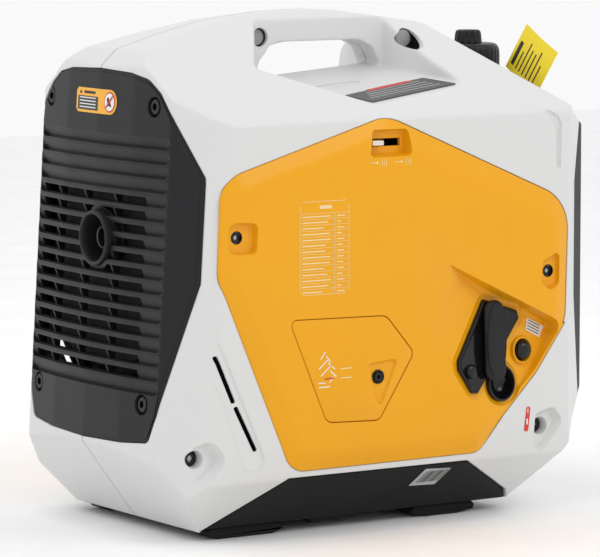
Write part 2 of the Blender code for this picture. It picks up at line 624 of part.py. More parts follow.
def build_fuel():
    tank = from_rings("tank", [
        [(x, y, 0.2640) for x, y in offset(TANK_PLAN, -0.012)],
        [(x, y, 0.2740) for x, y in TANK_PLAN],
        [(x, y, 0.3180) for x, y in TANK_PLAN],
        [(x, y, 0.3290) for x, y in offset(TANK_PLAN, -0.012)]])
    join(tank, cylinder("neck", 0.0200, "Z", (CAP_X, 0.0), 0.32, 0.3920, 24))
    cut(tank, cylinder("mouth", 0.0170, "Z", (CAP_X, 0.0), 0.300, 0.40, 24))
    finish(tidy(tank), "fuel_tank", BLACK, 0.6)
    cap = turned("cap", [(CAP_DECK + GAP, 0.0285), (0.4020, 0.0285), (0.4070, 0.0268),
                         (0.4085, 0.0225)], "Z", (CAP_X, 0.0), 28)
    cut(cap, cylinder("thread", 0.0204, "Z", (CAP_X, 0.0), 0.36, 0.3930, 24))
    turn_about(cap, CAP_X, 0.0, CAP_DECK)
    finish(cap, "fuel_cap", BLACK, 0.4)
    knob = turned("knob", [(0.4088, 0.0125), (0.4185, 0.0115), (0.4203, 0.0098)], "Z", (CAP_X, 0.0), 16)
    turn_about(knob, CAP_X, 0.0, 0.4088)
    finish(knob, "vent_knob", BLACK, 0.4)


def build_tag():
    """A card tag that stands up from the filler, curled a little, as one thin solid."""
    foot = Vector((0.2000, -0.0500, 0.3760))
    across = Vector((0.180, -0.824, -0.538)).normalized()
    up = Vector((0.127, -0.5335, 0.831)).normalized()
    up = (up - across * up.dot(across)).normalized()
    out = across.cross(up)
    thickness = 0.0006
    rings = []
    for i in range(6):
        t = i / 5
        bend = 0.006 * math.sin(math.pi * t)
        centre = foot + up * TAG_LENGTH * t + out * bend
        left = centre - across * TAG_WIDTH / 2
        right = centre + across * TAG_WIDTH / 2
        rings.append([left - out * thickness, right - out * thickness, right + out * thickness,
                      left + out * thickness])
    finish(from_rings("tag", [[tuple(p) for p in ring] for ring in rings]), "hang_tag",
           (0.85, 0.72, 0.02), 0.6)


# ---------------------------------------------------------------- engine
def build_engine():
    case = box("case", (-0.060, -0.062, 0.0403), (0.040, 0.062, 0.2050))
    cut(case, cylinder("chamber", 0.0400, "X", (0.0, CRANK_Z), -0.042, 0.022, 28),
        cylinder("bearing", 0.0112, "X", (0.0, CRANK_Z), -0.1, 0.1, 20),
        cylinder("mouth", 0.0262, "Z", (CYL_X, 0.0), 0.17, 0.25, 24),
        cylinder("filler", 0.0085, "Y", DIPSTICK, -0.040, -0.1, 16))
    finish(tidy(case), "crankcase", CAST, 0.5, 1.0)
    for number, centre in enumerate(MOUNTS, start=1):
        mount = turned("mount", [(PAN_FLOOR + WALL + GAP, 0.0135), (0.0270, 0.0100), (0.0400, 0.0135)],
                       "Z", centre, 16)
        finish(mount, "engine_mount_%d" % number, BLACK, 0.85)
    build_cylinder()
    build_crank()
    stick = turned("stick", [(-0.0450, 0.0078), (-0.0622, 0.0078), (-0.0624, 0.0150), (-0.0720, 0.0150),
                             (-0.0722, 0.0060), (-0.0850, 0.0060)], "Y", DIPSTICK, 16)
    turn_about(stick, DIPSTICK[0], -0.062, DIPSTICK[1])
    finish(stick, "oil_dipstick", (0.85, 0.35, 0.02), 0.5)


def build_cylinder():
    profile = [(0.2053, 0.0340)]
    for i in range(5):
        low = 0.2110 + 0.0095 * i
        profile += [(low, 0.0340), (low + 0.0005, 0.0450), (low + 0.0030, 0.0450),
                    (low + 0.0035, 0.0340)]
    barrel = turned("barrel", profile + [(0.2600, 0.0340)], "Z", (CYL_X, 0.0), 20)
    cut(barrel, cylinder("bore", 0.0245, "Z", (CYL_X, 0.0), 0.1, 0.3, 24))
    finish(barrel, "cylinder", CAST, 0.5, 1.0)
    head = box("head", (CYL_X - 0.042, -0.042, 0.2603), (CYL_X + 0.042, 0.042, 0.2630))
    for i in range(6):
        y = -0.037 + 0.0148 * i
        join(head, box("fin", (CYL_X - 0.040, y - 0.0014, 0.2620),
                       (CYL_X + 0.040, y + 0.0014, 0.2850)))
    join(head, cylinder("boss", 0.0150, "Z", (CYL_X, 0.0), 0.2620, 0.2790, 20))
    cut(head, cylinder("plug_hole", 0.0074, "Z", (CYL_X, 0.0), 0.25, 0.30, 16),
        cylinder("spanner_room", 0.0120, "Z", (CYL_X, 0.0), 0.2792, 0.30, 16))
    finish(tidy(head), "cylinder_head", CAST, 0.5, 1.0)
    crown = cylinder("piston", 0.0242, "Z", (CYL_X, 0.0), 0.2080, 0.2420, 24)
    cut(crown, cylinder("inside", 0.0205, "Z", (CYL_X, 0.0), 0.20, 0.2370, 24))
    finish(crown, "piston", (0.7, 0.7, 0.72), 0.3, 1.0)
    plug = turned("plug", [(0.2625, 0.0068), (0.2795, 0.0068), (0.2796, 0.0100), (0.2860, 0.0100),
                           (0.2862, 0.0050), (0.3150, 0.0040)], "Z", (CYL_X, 0.0), 12)
    finish(plug, "spark_plug", (0.8, 0.8, 0.78), 0.3)
    cap = turned("plug_cap", [(0.2900, 0.0085), (0.3250, 0.0095), (0.3350, 0.0070)], "Z",
                 (CYL_X, 0.0), 16)
    cut(cap, turned("inside", [(0.28, 0.0056), (0.3160, 0.0056)], "Z", (CYL_X, 0.0), 16))
    finish(cap, "spark_plug_cap", BLACK, 0.7)


def build_crank():
    shaft = cylinder("shaft", 0.0100, "X", (0.0, CRANK_Z), -0.0660, 0.1070, 20)
    join(shaft, cylinder("web_rear", 0.0300, "X", (0.0, CRANK_Z), -0.0280, -0.0190, 20),
         cylinder("web_front", 0.0300, "X", (0.0, CRANK_Z), -0.0010, 0.0080, 20))
    turn_about(shaft, 0.0, 0.0, CRANK_Z)
    finish(tidy(shaft), "crankshaft", STEEL, 0.3, 1.0)
    stator = tube("stator", 0.0480, 0.0200, "X", (0.0, CRANK_Z), 0.0403, 0.0660, 24)
    for i in range(12):
        angle = math.radians(30 * i)
        centre = (0.0480 * math.cos(angle), CRANK_Z + 0.0480 * math.sin(angle))
        cut(stator, cylinder("slot", 0.0035, "X", centre, 0.0440, 0.08, 8))
    finish(stator, "alternator_stator", (0.45, 0.20, 0.08), 0.4, 0.8)
    rotor = cylinder("rotor", 0.0600, "X", (0.0, CRANK_Z), 0.0430, 0.0750, 28)
    cut(rotor, cylinder("inside", 0.0530, "X", (0.0, CRANK_Z), 0.03, 0.0700, 28),
        cylinder("bore", 0.0103, "X", (0.0, CRANK_Z), 0.0, 0.1, 20))
    turn_about(rotor, 0.0, 0.0, CRANK_Z)
    finish(rotor, "alternator_rotor", STEEL, 0.4, 1.0)
    fan = cylinder("fan", 0.0720, "X", (0.0, CRANK_Z), 0.0753, 0.0780, 28)
    join(fan, cylinder("hub", 0.0190, "X", (0.0, CRANK_Z), 0.0770, 0.1000, 20))
    for i in range(10):
        blade = box("blade", (0.0770, 0.0108, 0.0300), (0.1000, 0.0132, 0.0700))
        blade.data.transform(Matrix.Rotation(math.radians(36 * i), 4, "X"))
        blade.data.transform(Matrix.Translation((0.0, 0.0, CRANK_Z)))
        join(fan, blade)
    cut(fan, cylinder("bore", 0.0103, "X", (0.0, CRANK_Z), 0.0, 0.2, 20))
    turn_about(fan, 0.0, 0.0, CRANK_Z)
    finish(tidy(fan), "flywheel_fan", GREY, 0.5)


def build_services():
    shape = rounded([(-0.190, 0.192, 0.02), (-0.090, 0.192, 0.02), (-0.090, 0.310, 0.02),
                     (-0.190, 0.310, 0.02)])
    muffler = prism("muffler", shape, "Y", -0.065, 0.065)
    cut(muffler, box("chamber", (-0.176, -0.052, 0.208), (-0.104, 0.052, 0.294)),
        cylinder("outlet", 0.0075, "X", EXHAUST, -0.2, -0.15, 16))
    finish(muffler, "muffler", STEEL, 0.5, 1.0)
    pipe = tube("tailpipe", 0.0095, 0.0078, "X", EXHAUST, -0.2100, -0.1903, 16)
    finish(pipe, "tailpipe", STEEL, 0.5, 1.0)
    carb = box("carburettor", (0.0360, -0.0600, 0.2240), (0.0720, -0.0200, 0.2580))
    cut(carb, cylinder("throat", 0.0090, "X", (-0.040, 0.241), 0.0, 0.1, 16))
    finish(carb, "carburettor", CAST, 0.4, 1.0)
    shape = rounded([(0.030, 0.232, 0.006), (0.100, 0.232, 0.006), (0.100, 0.260, 0.006),
                     (0.030, 0.260, 0.006)], 2)
    cleaner = prism("cleaner", shape, "Y", -0.1180, -0.0650)
    finish(cleaner, "air_filter_box", BLACK, 0.6)
    coil = box("coil", (0.0800, 0.0760, 0.1480), (0.0980, 0.1000, 0.1760))
    finish(coil, "ignition_coil", BLACK, 0.5)
    inverter = box("inverter", (0.1560, -0.0850, 0.1000), (0.1640, 0.0850, 0.2500))
    for i in range(9):
        y = -0.080 + 0.020 * i
        join(inverter, box("fin", (0.1630, y - 0.0012, 0.1000), (0.1850, y + 0.0012, 0.2500)))
    finish(tidy(inverter), "inverter_module", CAST, 0.5, 1.0)


clear_scene()
build_shells()
build_grille()
build_front()
build_covers()
build_door()
build_base()
build_scoop_plate()
build_recoil()
build_choke()
build_fuel()
build_tag()
build_engine()
build_services()
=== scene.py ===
"""Looks for the portable generator, in metres and the CAD frame: +X control panel end, -Y starter side."""
import math

import bmesh
import bpy
from mathutils import Matrix, Vector
from mathutils.bvhtree import BVHTree


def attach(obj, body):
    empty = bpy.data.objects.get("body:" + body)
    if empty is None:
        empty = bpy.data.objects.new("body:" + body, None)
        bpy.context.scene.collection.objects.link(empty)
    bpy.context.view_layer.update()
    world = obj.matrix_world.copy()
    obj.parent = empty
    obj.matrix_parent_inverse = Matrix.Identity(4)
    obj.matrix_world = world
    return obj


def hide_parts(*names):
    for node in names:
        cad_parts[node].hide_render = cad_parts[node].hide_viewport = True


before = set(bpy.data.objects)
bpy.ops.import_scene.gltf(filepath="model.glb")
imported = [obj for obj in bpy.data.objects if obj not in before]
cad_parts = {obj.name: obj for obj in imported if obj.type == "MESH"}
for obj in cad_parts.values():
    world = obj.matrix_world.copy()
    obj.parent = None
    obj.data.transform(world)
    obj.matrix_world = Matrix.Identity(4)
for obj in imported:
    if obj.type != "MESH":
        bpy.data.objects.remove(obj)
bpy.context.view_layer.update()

# ---------------------------------------------------------------- outlines shared with the CAD
HALF_WIDTH = 0.139
COVER_FACE = 0.145
FLANK_WIDTH = 0.018
GAP = 0.0003
CAP_X = 0.177
CAP_DECK = 0.38
BOSS_R = 0.04
EXHAUST = (-0.006, 0.2535)
PAN_FLOOR = 0.0105
CASING_SIDE = [(-0.174, 0.008), (-0.2285, 0.081), (-0.209, 0.397), (-0.191, 0.4135), (-0.15, 0.4255),
    (-0.107, 0.436), (-0.046, 0.4425), (-0.004, 0.4437), (0.028, 0.442), (0.102, 0.431), (0.132, 0.424),
    (0.227, 0.4), (0.227, 0.104), (0.214, 0.083), (0.144, 0.008)]
CASING_END = [(-0.104, 0.008), (0.104, 0.008), (0.137, 0.053), (HALF_WIDTH, 0.075), (HALF_WIDTH, 0.355),
    (0.018, 0.436), (0.008, 0.4437), (-0.008, 0.4437), (-0.018, 0.436), (-HALF_WIDTH, 0.355),
    (-HALF_WIDTH, 0.075), (-0.137, 0.053)]
REAR_LEAN = 0.063
REAR_PLAN = [(-0.232, 0.0), (-0.23, 0.055), (-0.224, 0.108), (-0.1984, 0.13), (-0.181, 0.1405)]
FRONT_PLAN = [(0.188, 0.1405), (0.209, 0.118), (0.2275, 0.105)]
HANDLE_PLAN = [(-0.26, 0.18), (-0.14, 0.18), (-0.098, 0.074), (-0.063, 0.018), (0.07, 0.018),
    (0.076, 0.045), (0.0836, 0.068), (0.1015, 0.101), (0.13, 0.152), (0.13, 0.18), (0.26, 0.18)]
HAND_HOLE = [(-0.064, 0.365), (-0.058, 0.398), (-0.046, 0.413), (-0.03, 0.416), (0.044, 0.416),
    (0.06, 0.409), (0.067, 0.396), (0.07, 0.365)]
SCOOP_REAR = (0.3752, -0.297, 0.0889)
SCOOP_FRONT = (0.3888, 0.0822, 0.1866)
NOSE_SLOPE = (0.5073, -0.691, 0.099)
# The grille here is a little fuller at its top corners than the CAD one.
GRILLE_SIDE = [(-0.26, 0.3985), (-0.196, 0.3985), (-0.1785, 0.33), (-0.18, 0.311), (-0.18, 0.223),
    (-0.214, 0.1), (-0.215, 0.07), (-0.26, 0.07)]
GRILLE_END = [               # (Y, Z, corner radius), one half from the top centre down
    (0.0, 0.398, 0.002), (0.05, 0.3962, 0.03), (0.0745, 0.3918, 0.02), (0.092, 0.381, 0.018),
    (0.108, 0.3628, 0.02), (0.1285, 0.311, 0.012), (0.1285, 0.223, 0.012), (0.1075, 0.112, 0.02),
    (0.0975, 0.0874, 0.008), (0.06, 0.084, 0.02), (0.0, 0.0823, 0.002),
]
SLOT_COLUMNS = [(-0.076, -0.0312), (-0.0288, 0.0182), (0.0208, 0.0668), (0.0692, 0.1)]
SLOT_ROWS = 13
SLOT_LOWEST = 0.144
SLOT_PITCH = 0.0121
PANEL_SIDE = [(0.26, 0.342), (0.22, 0.342), (0.2095, 0.29), (0.2095, 0.19), (0.2215, 0.096), (0.26, 0.096)]
BASE_SIDE = [(-0.171, PAN_FLOOR), (0.144, PAN_FLOOR), (0.139, 0.019), (0.081, 0.0527), (-0.104, 0.0527)]
COVER = [(-0.006, 0.358, 0.045), (-0.172, 0.31, 0.028), (-0.175, 0.226, 0.04), (-0.103, 0.058, 0.022),
    (0.092, 0.059, 0.016), (0.185, 0.168, 0.03), (0.188, 0.276, 0.04)]
DOOR = [(-0.109, 0.189, 0.005), (-0.01, 0.187, 0.012), (0.019, 0.153, 0.008), (-0.017, 0.097, 0.008),
    (-0.071, 0.099, 0.01)]
DOOR_ACCESS = [(-0.098, 0.181), (-0.034, 0.179), (-0.034, 0.106), (-0.066, 0.107)]
DOOR_SCREW = (-0.0175, 0.1345)
CHOKE_WINDOW = [(-0.026, 0.324), (0.015, 0.324), (0.015, 0.3455), (-0.022, 0.3455)]
RECOIL_MOUTH = [(0.05, 0.229), (0.178, 0.166), (0.15, 0.128), (0.101, 0.079), (0.03, 0.1737)]
RECOIL_PLATE = [(0.1, 0.193, 0.003), (0.139, 0.1805, 0.003), (0.141, 0.1735, 0.003), (0.086, 0.112, 0.003),
    (0.079, 0.113, 0.003), (0.0655, 0.134, 0.003), (0.0655, 0.142, 0.003)]
POCKET_TILT = 0.19
POCKET_EDGE = (0.036, 0.166, 0.787, 0.617)
POCKET_RAMP = (0.056, 0.226, 0.949, -0.316)
RAMP_TILT = 0.46
CUP = (0.115, 0.119)
PRIMER = (0.142, 0.1455)
ROPE = (0.1165, 0.128)
FOOT_HEIGHT = PAN_FLOOR - GAP
REAR_FOOT = [(-0.166, FOOT_HEIGHT), (-0.16, 0.002), (-0.152, 0.0), (-0.098, 0.0), (-0.086, 0.004),
    (-0.07, FOOT_HEIGHT)]
FRONT_FOOT = [(0.034, FOOT_HEIGHT), (0.05, 0.0022), (0.064, 0.0), (0.096, 0.0), (0.114, 0.003),
    (0.138, FOOT_HEIGHT)]
AC_SOCKETS = ((-0.036, 0.166), (0.036, 0.166))
DC_SOCKET = (-0.048, 0.226)
LAMP_Z = 0.272
TAG_WIDTH = 0.045
TAG_LENGTH = 0.046
PRINT_STEP = 0.004           # cuts a print into squares of this size, so that it follows a curve
CONTROL_WINDOW = [(-0.078, 0.128), (0.078, 0.128), (0.078, 0.3), (-0.078, 0.3)]


# ---------------------------------------------------------------- mesh helpers
def link(name, mesh):
    thing = bpy.data.objects.new(name, mesh)
    bpy.context.scene.collection.objects.link(thing)
    return thing


def from_rings(name, rings, closed=False):
    """A closed solid skinned over equal rings of points, with flat ends, or joined end to end."""
    mesh = bmesh.new()
    loops = [[mesh.verts.new(point) for point in ring] for ring in rings]
    pairs = list(zip(loops, loops[1:])) + ([(loops[-1], loops[0])] if closed else [])
    count = len(rings[0])
    for low, high in pairs:
        for i in range(count):
            j = (i + 1) % count
            mesh.faces.new((low[i], low[j], high[j], high[i]))
    if not closed:
        mesh.faces.new(list(reversed(loops[0])))
        mesh.faces.new(loops[-1])
    bmesh.ops.recalc_face_normals(mesh, faces=mesh.faces)
    data = bpy.data.meshes.new(name)
    mesh.to_mesh(data)
    mesh.free()
    return link(name, data)


def place(axis, pair, along):
    a, b = pair
    return {"X": (along, a, b), "Y": (a, along, b), "Z": (a, b, along)}[axis]


def prism(name, outline, axis, start, end):
    return from_rings(name, [[place(axis, pair, along) for pair in outline] for along in (start, end)])


def box(name, low, high):
    corners = [(low[0], low[1]), (high[0], low[1]), (high[0], high[1]), (low[0], high[1])]
    return prism(name, corners, "Z", low[2], high[2])


def circle(radius, segments, centre=(0.0, 0.0)):
    step = 2 * math.pi / segments
    return [(centre[0] + radius * math.cos(i * step), centre[1] + radius * math.sin(i * step))
        for i in range(segments)]


def cylinder(name, radius, axis, centre, start, end, segments=48):
    return prism(name, circle(radius, segments, centre), axis, start, end)


def turned(name, profile, axis, centre, segments=64, closed=False):
    rings = [[place(axis, pair, along) for pair in circle(radius, segments, centre)]
        for along, radius in profile]
    return from_rings(name, rings, closed)


def offset(outline, distance):
    area = sum(a[0] * b[1] - b[0] * a[1] for a, b in zip(outline, outline[1:] + outline[:1]))
    side = 1.0 if area > 0 else -1.0
    moved = []
    for i, point in enumerate(outline):
        before = Vector(point) - Vector(outline[i - 1])
        after = Vector(outline[(i + 1) % len(outline)]) - Vector(point)
        n1 = Vector((before.y, -before.x)).normalized() * side
        n2 = Vector((after.y, -after.x)).normalized() * side
        corner = (n1 + n2) / (1.0 + n1.dot(n2))
        moved.append((point[0] + corner.x * distance, point[1] + corner.y * distance))
    return moved


def rounded(corners, steps=10):
    points = []
    for i, (a, b, radius) in enumerate(corners):
        here = Vector((a, b))
        back = (Vector(corners[i - 1][:2]) - here).normalized()
        ahead = (Vector(corners[(i + 1) % len(corners)][:2]) - here).normalized()
        half = back.angle(ahead) / 2
        centre = here + (back + ahead).normalized() * radius / math.sin(half)
        first = here + back * radius / math.tan(half) - centre
        last = here + ahead * radius / math.tan(half) - centre
        for k in range(steps + 1):
            points.append(tuple(centre + first.lerp(last, k / steps).normalized() * radius))
    return points


def shrunk(corners, distance, steps=10, least=0.0006):
    """The rounded outline moved inward: the sharp corners move and the radii shrink."""
    moved = offset([corner[:2] for corner in corners], -distance)
    return rounded([(a, b, max(corner[2] - distance, least)) for (a, b), corner in zip(moved, corners)],
        steps)


def applied(thing):
    depsgraph = bpy.context.evaluated_depsgraph_get()
    depsgraph.update()
    result = bpy.data.meshes.new_from_object(thing.evaluated_get(depsgraph))
    thing.modifiers.clear()
    thing.data = result
    return thing


def combine(target, tool, operation):
    step = target.modifiers.new(operation, "BOOLEAN")
    step.operation = operation
    step.solver = "MANIFOLD"
    step.object = tool
    applied(target)
    bpy.data.objects.remove(tool, do_unlink=True)
    return target


def cut(target, *tools):
    for tool in tools:
        combine(target, tool, "DIFFERENCE")
    return target


def join(target, *tools):
    for tool in tools:
        combine(target, tool, "UNION")
    return target


def common(target, *tools):
    for tool in tools:
        combine(target, tool, "INTERSECT")
    return target


def copy(thing, name):
    return link(name, thing.data.copy())


def merge(things):
    """Several separate solids as one mesh."""
    mesh = bmesh.new()
    for thing in things:
        mesh.from_mesh(thing.data)
    mesh.to_mesh(things[0].data)
    mesh.free()
    for thing in things[1:]:
        bpy.data.objects.remove(thing, do_unlink=True)
    return things[0]


def softened(thing, voxel, steps):
    """Remesh and relax, which rounds every edge by about two voxels."""
    remesh = thing.modifiers.new("remesh", "REMESH")
    remesh.mode = "VOXEL"
    remesh.voxel_size = voxel
    smooth = thing.modifiers.new("smooth", "SMOOTH")
    smooth.factor = 0.5
    smooth.iterations = steps
    return applied(thing)


def drop(thing):
    bpy.data.objects.remove(thing, do_unlink=True)


def wear(thing, name, material, replaces=(), angle=32, body="casing"):
    """Name a finished piece, shade it, give it its material and its body."""
    thing.name = name
    thing.data.materials.clear()
    thing.data.materials.append(material)
    thing.data.shade_smooth()
    thing.data.set_sharp_from_angle(angle=math.radians(angle))
    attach(thing, body)
    if replaces:
        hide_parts(*replaces)
    return thing


# ---------------------------------------------------------------- materials
def node(tree, kind, **inputs):
    made = tree.nodes.new(kind)
    for key, value in inputs.items():
        made.inputs[key.replace("_", " ")].default_value = value
    return made


def finish(name, colour, roughness, metallic=0.0, grain=1500.0, bump=0.03, mottle=0.05, spread=0.07,
        coat=0.0, edge=0.0006, stretch=(1.0, 1.0, 1.0), specular=0.5):
    """A moulded, cast or brushed surface: fine grain in the bump, slow drift in colour and gloss."""
    material = bpy.data.materials.new(name)
    material.use_nodes = True
    tree = material.node_tree
    shader = tree.nodes["Principled BSDF"]
    for socket, value in (("Metallic", metallic), ("Coat Weight", coat), ("Coat Roughness", 0.08),
            ("Specular IOR Level", specular)):
        shader.inputs[socket].default_value = value
    where = tree.nodes.new("ShaderNodeTexCoord")
    mapping = node(tree, "ShaderNodeMapping", Scale=stretch)
    tree.links.new(where.outputs["Object"], mapping.inputs["Vector"])
    fine = node(tree, "ShaderNodeTexNoise", Scale=grain, Detail=3.0)
    slow = node(tree, "ShaderNodeTexNoise", Scale=14.0, Detail=5.0)
    tree.links.new(mapping.outputs["Vector"], fine.inputs["Vector"])
    tree.links.new(where.outputs["Object"], slow.inputs["Vector"])
    tint = tree.nodes.new("ShaderNodeMixRGB")
    tint.inputs["Color1"].default_value = (*[c * (1 - mottle) for c in colour], 1)
    tint.inputs["Color2"].default_value = (*[min(1.0, c * (1 + mottle)) for c in colour], 1)
    tree.links.new(slow.outputs["Fac"], tint.inputs["Fac"])
    tree.links.new(tint.outputs["Color"], shader.inputs["Base Color"])
    gloss = tree.nodes.new("ShaderNodeMapRange")
    gloss.inputs["To Min"].default_value = max(0.02, roughness - spread)
    gloss.inputs["To Max"].default_value = roughness + spread
    tree.links.new(slow.outputs["Fac"], gloss.inputs["Value"])
    tree.links.new(gloss.outputs["Result"], shader.inputs["Roughness"])
    relief = node(tree, "ShaderNodeBump", Strength=bump, Distance=0.0006)
    tree.links.new(fine.outputs["Fac"], relief.inputs["Height"])
    if edge:
        round_off = tree.nodes.new("ShaderNodeBevel")
        round_off.samples = 4
        round_off.inputs["Radius"].default_value = edge
        tree.links.new(round_off.outputs["Normal"], relief.inputs["Normal"])
    tree.links.new(relief.outputs["Normal"], shader.inputs["Normal"])
    return material


WHITE = finish("white_shell", (0.66, 0.665, 0.66), 0.36, mottle=0.012, edge=0.0014)
YELLOW = finish("yellow_cover", (0.8, 0.36, 0.004), 0.3, mottle=0.03, edge=0.0009, specular=0.3)
BLACK = finish("black_grille", (0.009, 0.0095, 0.011), 0.42, bump=0.06, edge=0.0006, specular=0.28)
PANEL = finish("black_panel", (0.008, 0.0085, 0.0095), 0.45, bump=0.06, specular=0.28)
BASE = finish("black_base", (0.005, 0.005, 0.0055), 0.62, bump=0.1, grain=900, specular=0.28)
GLOSS = finish("gloss_black", (0.006, 0.006, 0.007), 0.08, bump=0.004, spread=0.02, specular=0.35)
GRIP = finish("grip_rubber", (0.011, 0.011, 0.012), 0.58, bump=0.16, grain=2200, specular=0.28)
RUBBER = finish("foot_rubber", (0.007, 0.007, 0.007), 0.8, bump=0.18, grain=1200, specular=0.28)
CAP = finish("cap_plastic", (0.007, 0.007, 0.0075), 0.36, bump=0.05, specular=0.28)
GREY = finish("grey_plate", (0.06, 0.063, 0.066), 0.36, bump=0.05)
PLUG = finish("plug_grey", (0.3, 0.31, 0.31), 0.45)
STEEL = finish("steel", (0.55, 0.55, 0.56), 0.3, metallic=1.0, grain=700, bump=0.06, stretch=(1, 1, 14))
PALE_METAL = finish("pale_lever", (0.74, 0.7, 0.62), 0.3, metallic=0.75, grain=900, stretch=(14, 1, 1))
DARK_STEEL = finish("dark_screw", (0.03, 0.03, 0.033), 0.28, metallic=0.8)
CAST = finish("cast_alloy", (0.42, 0.42, 0.43), 0.52, metallic=0.9, grain=600, bump=0.35)
HOT_STEEL = finish("muffler_steel", (0.1, 0.095, 0.088), 0.45, metallic=1.0, grain=400, mottle=0.18)
COPPER = finish("copper_windings", (0.62, 0.25, 0.1), 0.35, metallic=1.0, grain=500, stretch=(20, 1, 1),
    bump=0.3)
BRASS = finish("brass", (0.72, 0.5, 0.2), 0.28, metallic=1.0, grain=800)
TANK = finish("tank_plastic", (0.02, 0.02, 0.021), 0.6, bump=0.12, grain=700)
ORANGE = finish("orange_plastic", (0.85, 0.3, 0.02), 0.38)
CARD = finish("tag_card", (0.8, 0.62, 0.015), 0.55, bump=0.14, grain=1100, edge=0)
INK = finish("ink_dark", (0.025, 0.022, 0.015), 0.6, edge=0)
LABEL_ORANGE = finish("label_orange", (0.86, 0.42, 0.02), 0.3, edge=0)
LABEL_BLACK = finish("label_black", (0.012, 0.012, 0.014), 0.32, edge=0)
LABEL_WHITE = finish("label_white", (0.78, 0.78, 0.76), 0.4, edge=0)
LABEL_RED = finish("label_red", (0.62, 0.035, 0.025), 0.35, edge=0)
LABEL_GREY = finish("label_grey", (0.42, 0.43, 0.44), 0.36, edge=0)
FADED = finish("print_faded", (0.8, 0.62, 0.3), 0.5, edge=0)
RED_LENS = finish("red_lens", (0.45, 0.02, 0.015), 0.12, coat=0.6, bump=0.004)
GREEN_LENS = finish("green_lens", (0.02, 0.35, 0.06), 0.12, coat=0.6, bump=0.004)
ROPE_FIBRE = finish("rope_fibre", (0.035, 0.035, 0.037), 0.85, grain=260, bump=0.8, stretch=(1, 3, 1),
    edge=0)
# Painted shade: a near-black matte for sheets put behind slots and windows where there is only shade.
PAINTED_SHADE = finish("painted_shade_dark", (0.01, 0.01, 0.01), 0.8)


# ---------------------------------------------------------------- printing on surfaces
def printed(name, shapes, spot, material, step=None, body="casing"):
    """Flat prints: outlines in (a, b), where spot(a, b) is the surface point and step cuts them up."""
    mesh = bmesh.new()
    for shape in shapes:
        mesh.faces.new([mesh.verts.new((a, b, 0.0)) for a, b in shape])
    if step:
        for axis in (0, 1):
            low = min(v.co[axis] for v in mesh.verts)
            high = max(v.co[axis] for v in mesh.verts)
            at = low + step
            while at < high:
                normal = (1, 0, 0) if axis == 0 else (0, 1, 0)
                bmesh.ops.bisect_plane(mesh, geom=mesh.verts[:] + mesh.edges[:] + mesh.faces[:],
                    plane_co=[at * n for n in normal], plane_no=normal)
                at += step
    for v in mesh.verts:
        v.co = spot(v.co.x, v.co.y)
    data = bpy.data.meshes.new(name)
    mesh.to_mesh(data)
    mesh.free()
    return wear(link(name, data), name, material, body=body)


def bar(a, b, width, height):
    return [(a, b), (a + width, b), (a + width, b + height), (a, b + height)]


def surface(thing, axis, sign, lift):
    """spot() that drops points onto a piece along an axis."""
    bpy.context.view_layer.update()
    tree = BVHTree.FromObject(thing, bpy.context.evaluated_depsgraph_get())
    ray = Vector(place(axis, (0.0, 0.0), -sign))

    def spot(a, b):
        hit, normal, _, _ = tree.ray_cast(Vector(place(axis, (a, b), sign * 0.6)), ray)
        return hit + normal * lift if hit else Vector(place(axis, (a, b), 0.0))
    return spot


def stroke(a, b, turn, length, width):
    c, s = math.cos(turn), math.sin(turn)
    return [(a + c * u - s * v, b + s * u + c * v) for u, v in ((0, 0), (length, 0), (length, width),
        (0, width))]


def on_side(face, lift):
    return lambda x, z: Vector((x, -(face + lift), z))


# ---------------------------------------------------------------- casing
def height(face, x, y):
    return face[0] + face[1] * x - face[2] * abs(y)


def above(face, x_range, y_range):
    (x0, x1), (y0, y1) = x_range, y_range
    corners = [(x0, y0), (x1, y0), (x1, y1), (x0, y1)]
    return from_rings("above", [[(x, y, height(face, x, y)) for x, y in corners],
        [(x, y, 0.6) for x, y in corners]])


def lowered(face, distance):
    return (face[0] - distance, face[1], face[2])


def scoop(inset):
    taken = None
    for low, high in ((-0.2, 0.0), (0.0, 0.2)):
        part = common(above(lowered(SCOOP_REAR, inset), (-0.25, 0.25), (low, high)),
            above(lowered(SCOOP_FRONT, inset), (-0.25, 0.25), (low, high)))
        taken = part if taken is None else join(taken, part)
    outline = HANDLE_PLAN + [(x, -y) for x, y in reversed(HANDLE_PLAN)]
    handle = prism("handle", offset(outline, -inset), "Z", 0.3, 0.7)
    hole = prism("hole", offset(HAND_HOLE, inset), "Y", -0.019, 0.019)
    return cut(taken, cut(handle, hole))


def plan_block(inset):
    rings = []
    for level in (-0.02, 0.5):
        half = [(x + REAR_LEAN * level, y) for x, y in REAR_PLAN] + FRONT_PLAN
        outline = half + [(x, -y) for x, y in reversed(half[1:])]
        rings.append([(x, y, level) for x, y in offset(outline, -inset)])
    return from_rings("plan", rings)


def casing_form(inset=0.0):
    form = prism("casing", offset(CASING_SIDE, -inset), "Y", -0.2, 0.2)
    common(form, prism("end", offset(CASING_END, -inset), "X", -0.3, 0.3), plan_block(inset))
    for low, high in ((-0.2, 0.0), (0.0, 0.2)):
        cut(form, above(lowered(NOSE_SLOPE, inset * 1.2), (0.1, 0.3), (low, high)))
    return cut(form, scoop(inset))


def grille_zone(shrink):
    end = GRILLE_END + [(-y, z, radius) for y, z, radius in reversed(GRILLE_END[1:-1])]
    moved = offset([(y, z) for y, z, _ in end], -shrink)
    corners = [(a, b, radius) for (a, b), (_, _, radius) in zip(moved, end)]
    zone = prism("zone", offset(GRILLE_SIDE, -shrink), "Y", -0.2, 0.2)
    return common(zone, prism("end", rounded(corners, 8), "X", -0.3, 0.0))


def side_prism(name, outline, floor, side, within=None):
    """A tool that cuts into a flank from outside down to |Y| = floor."""
    tool = prism(name, outline, "Y", side * floor, side * 0.2)
    return common(tool, prism("within", within, "Y", side * 0.1, side * 0.3)) if within else tool


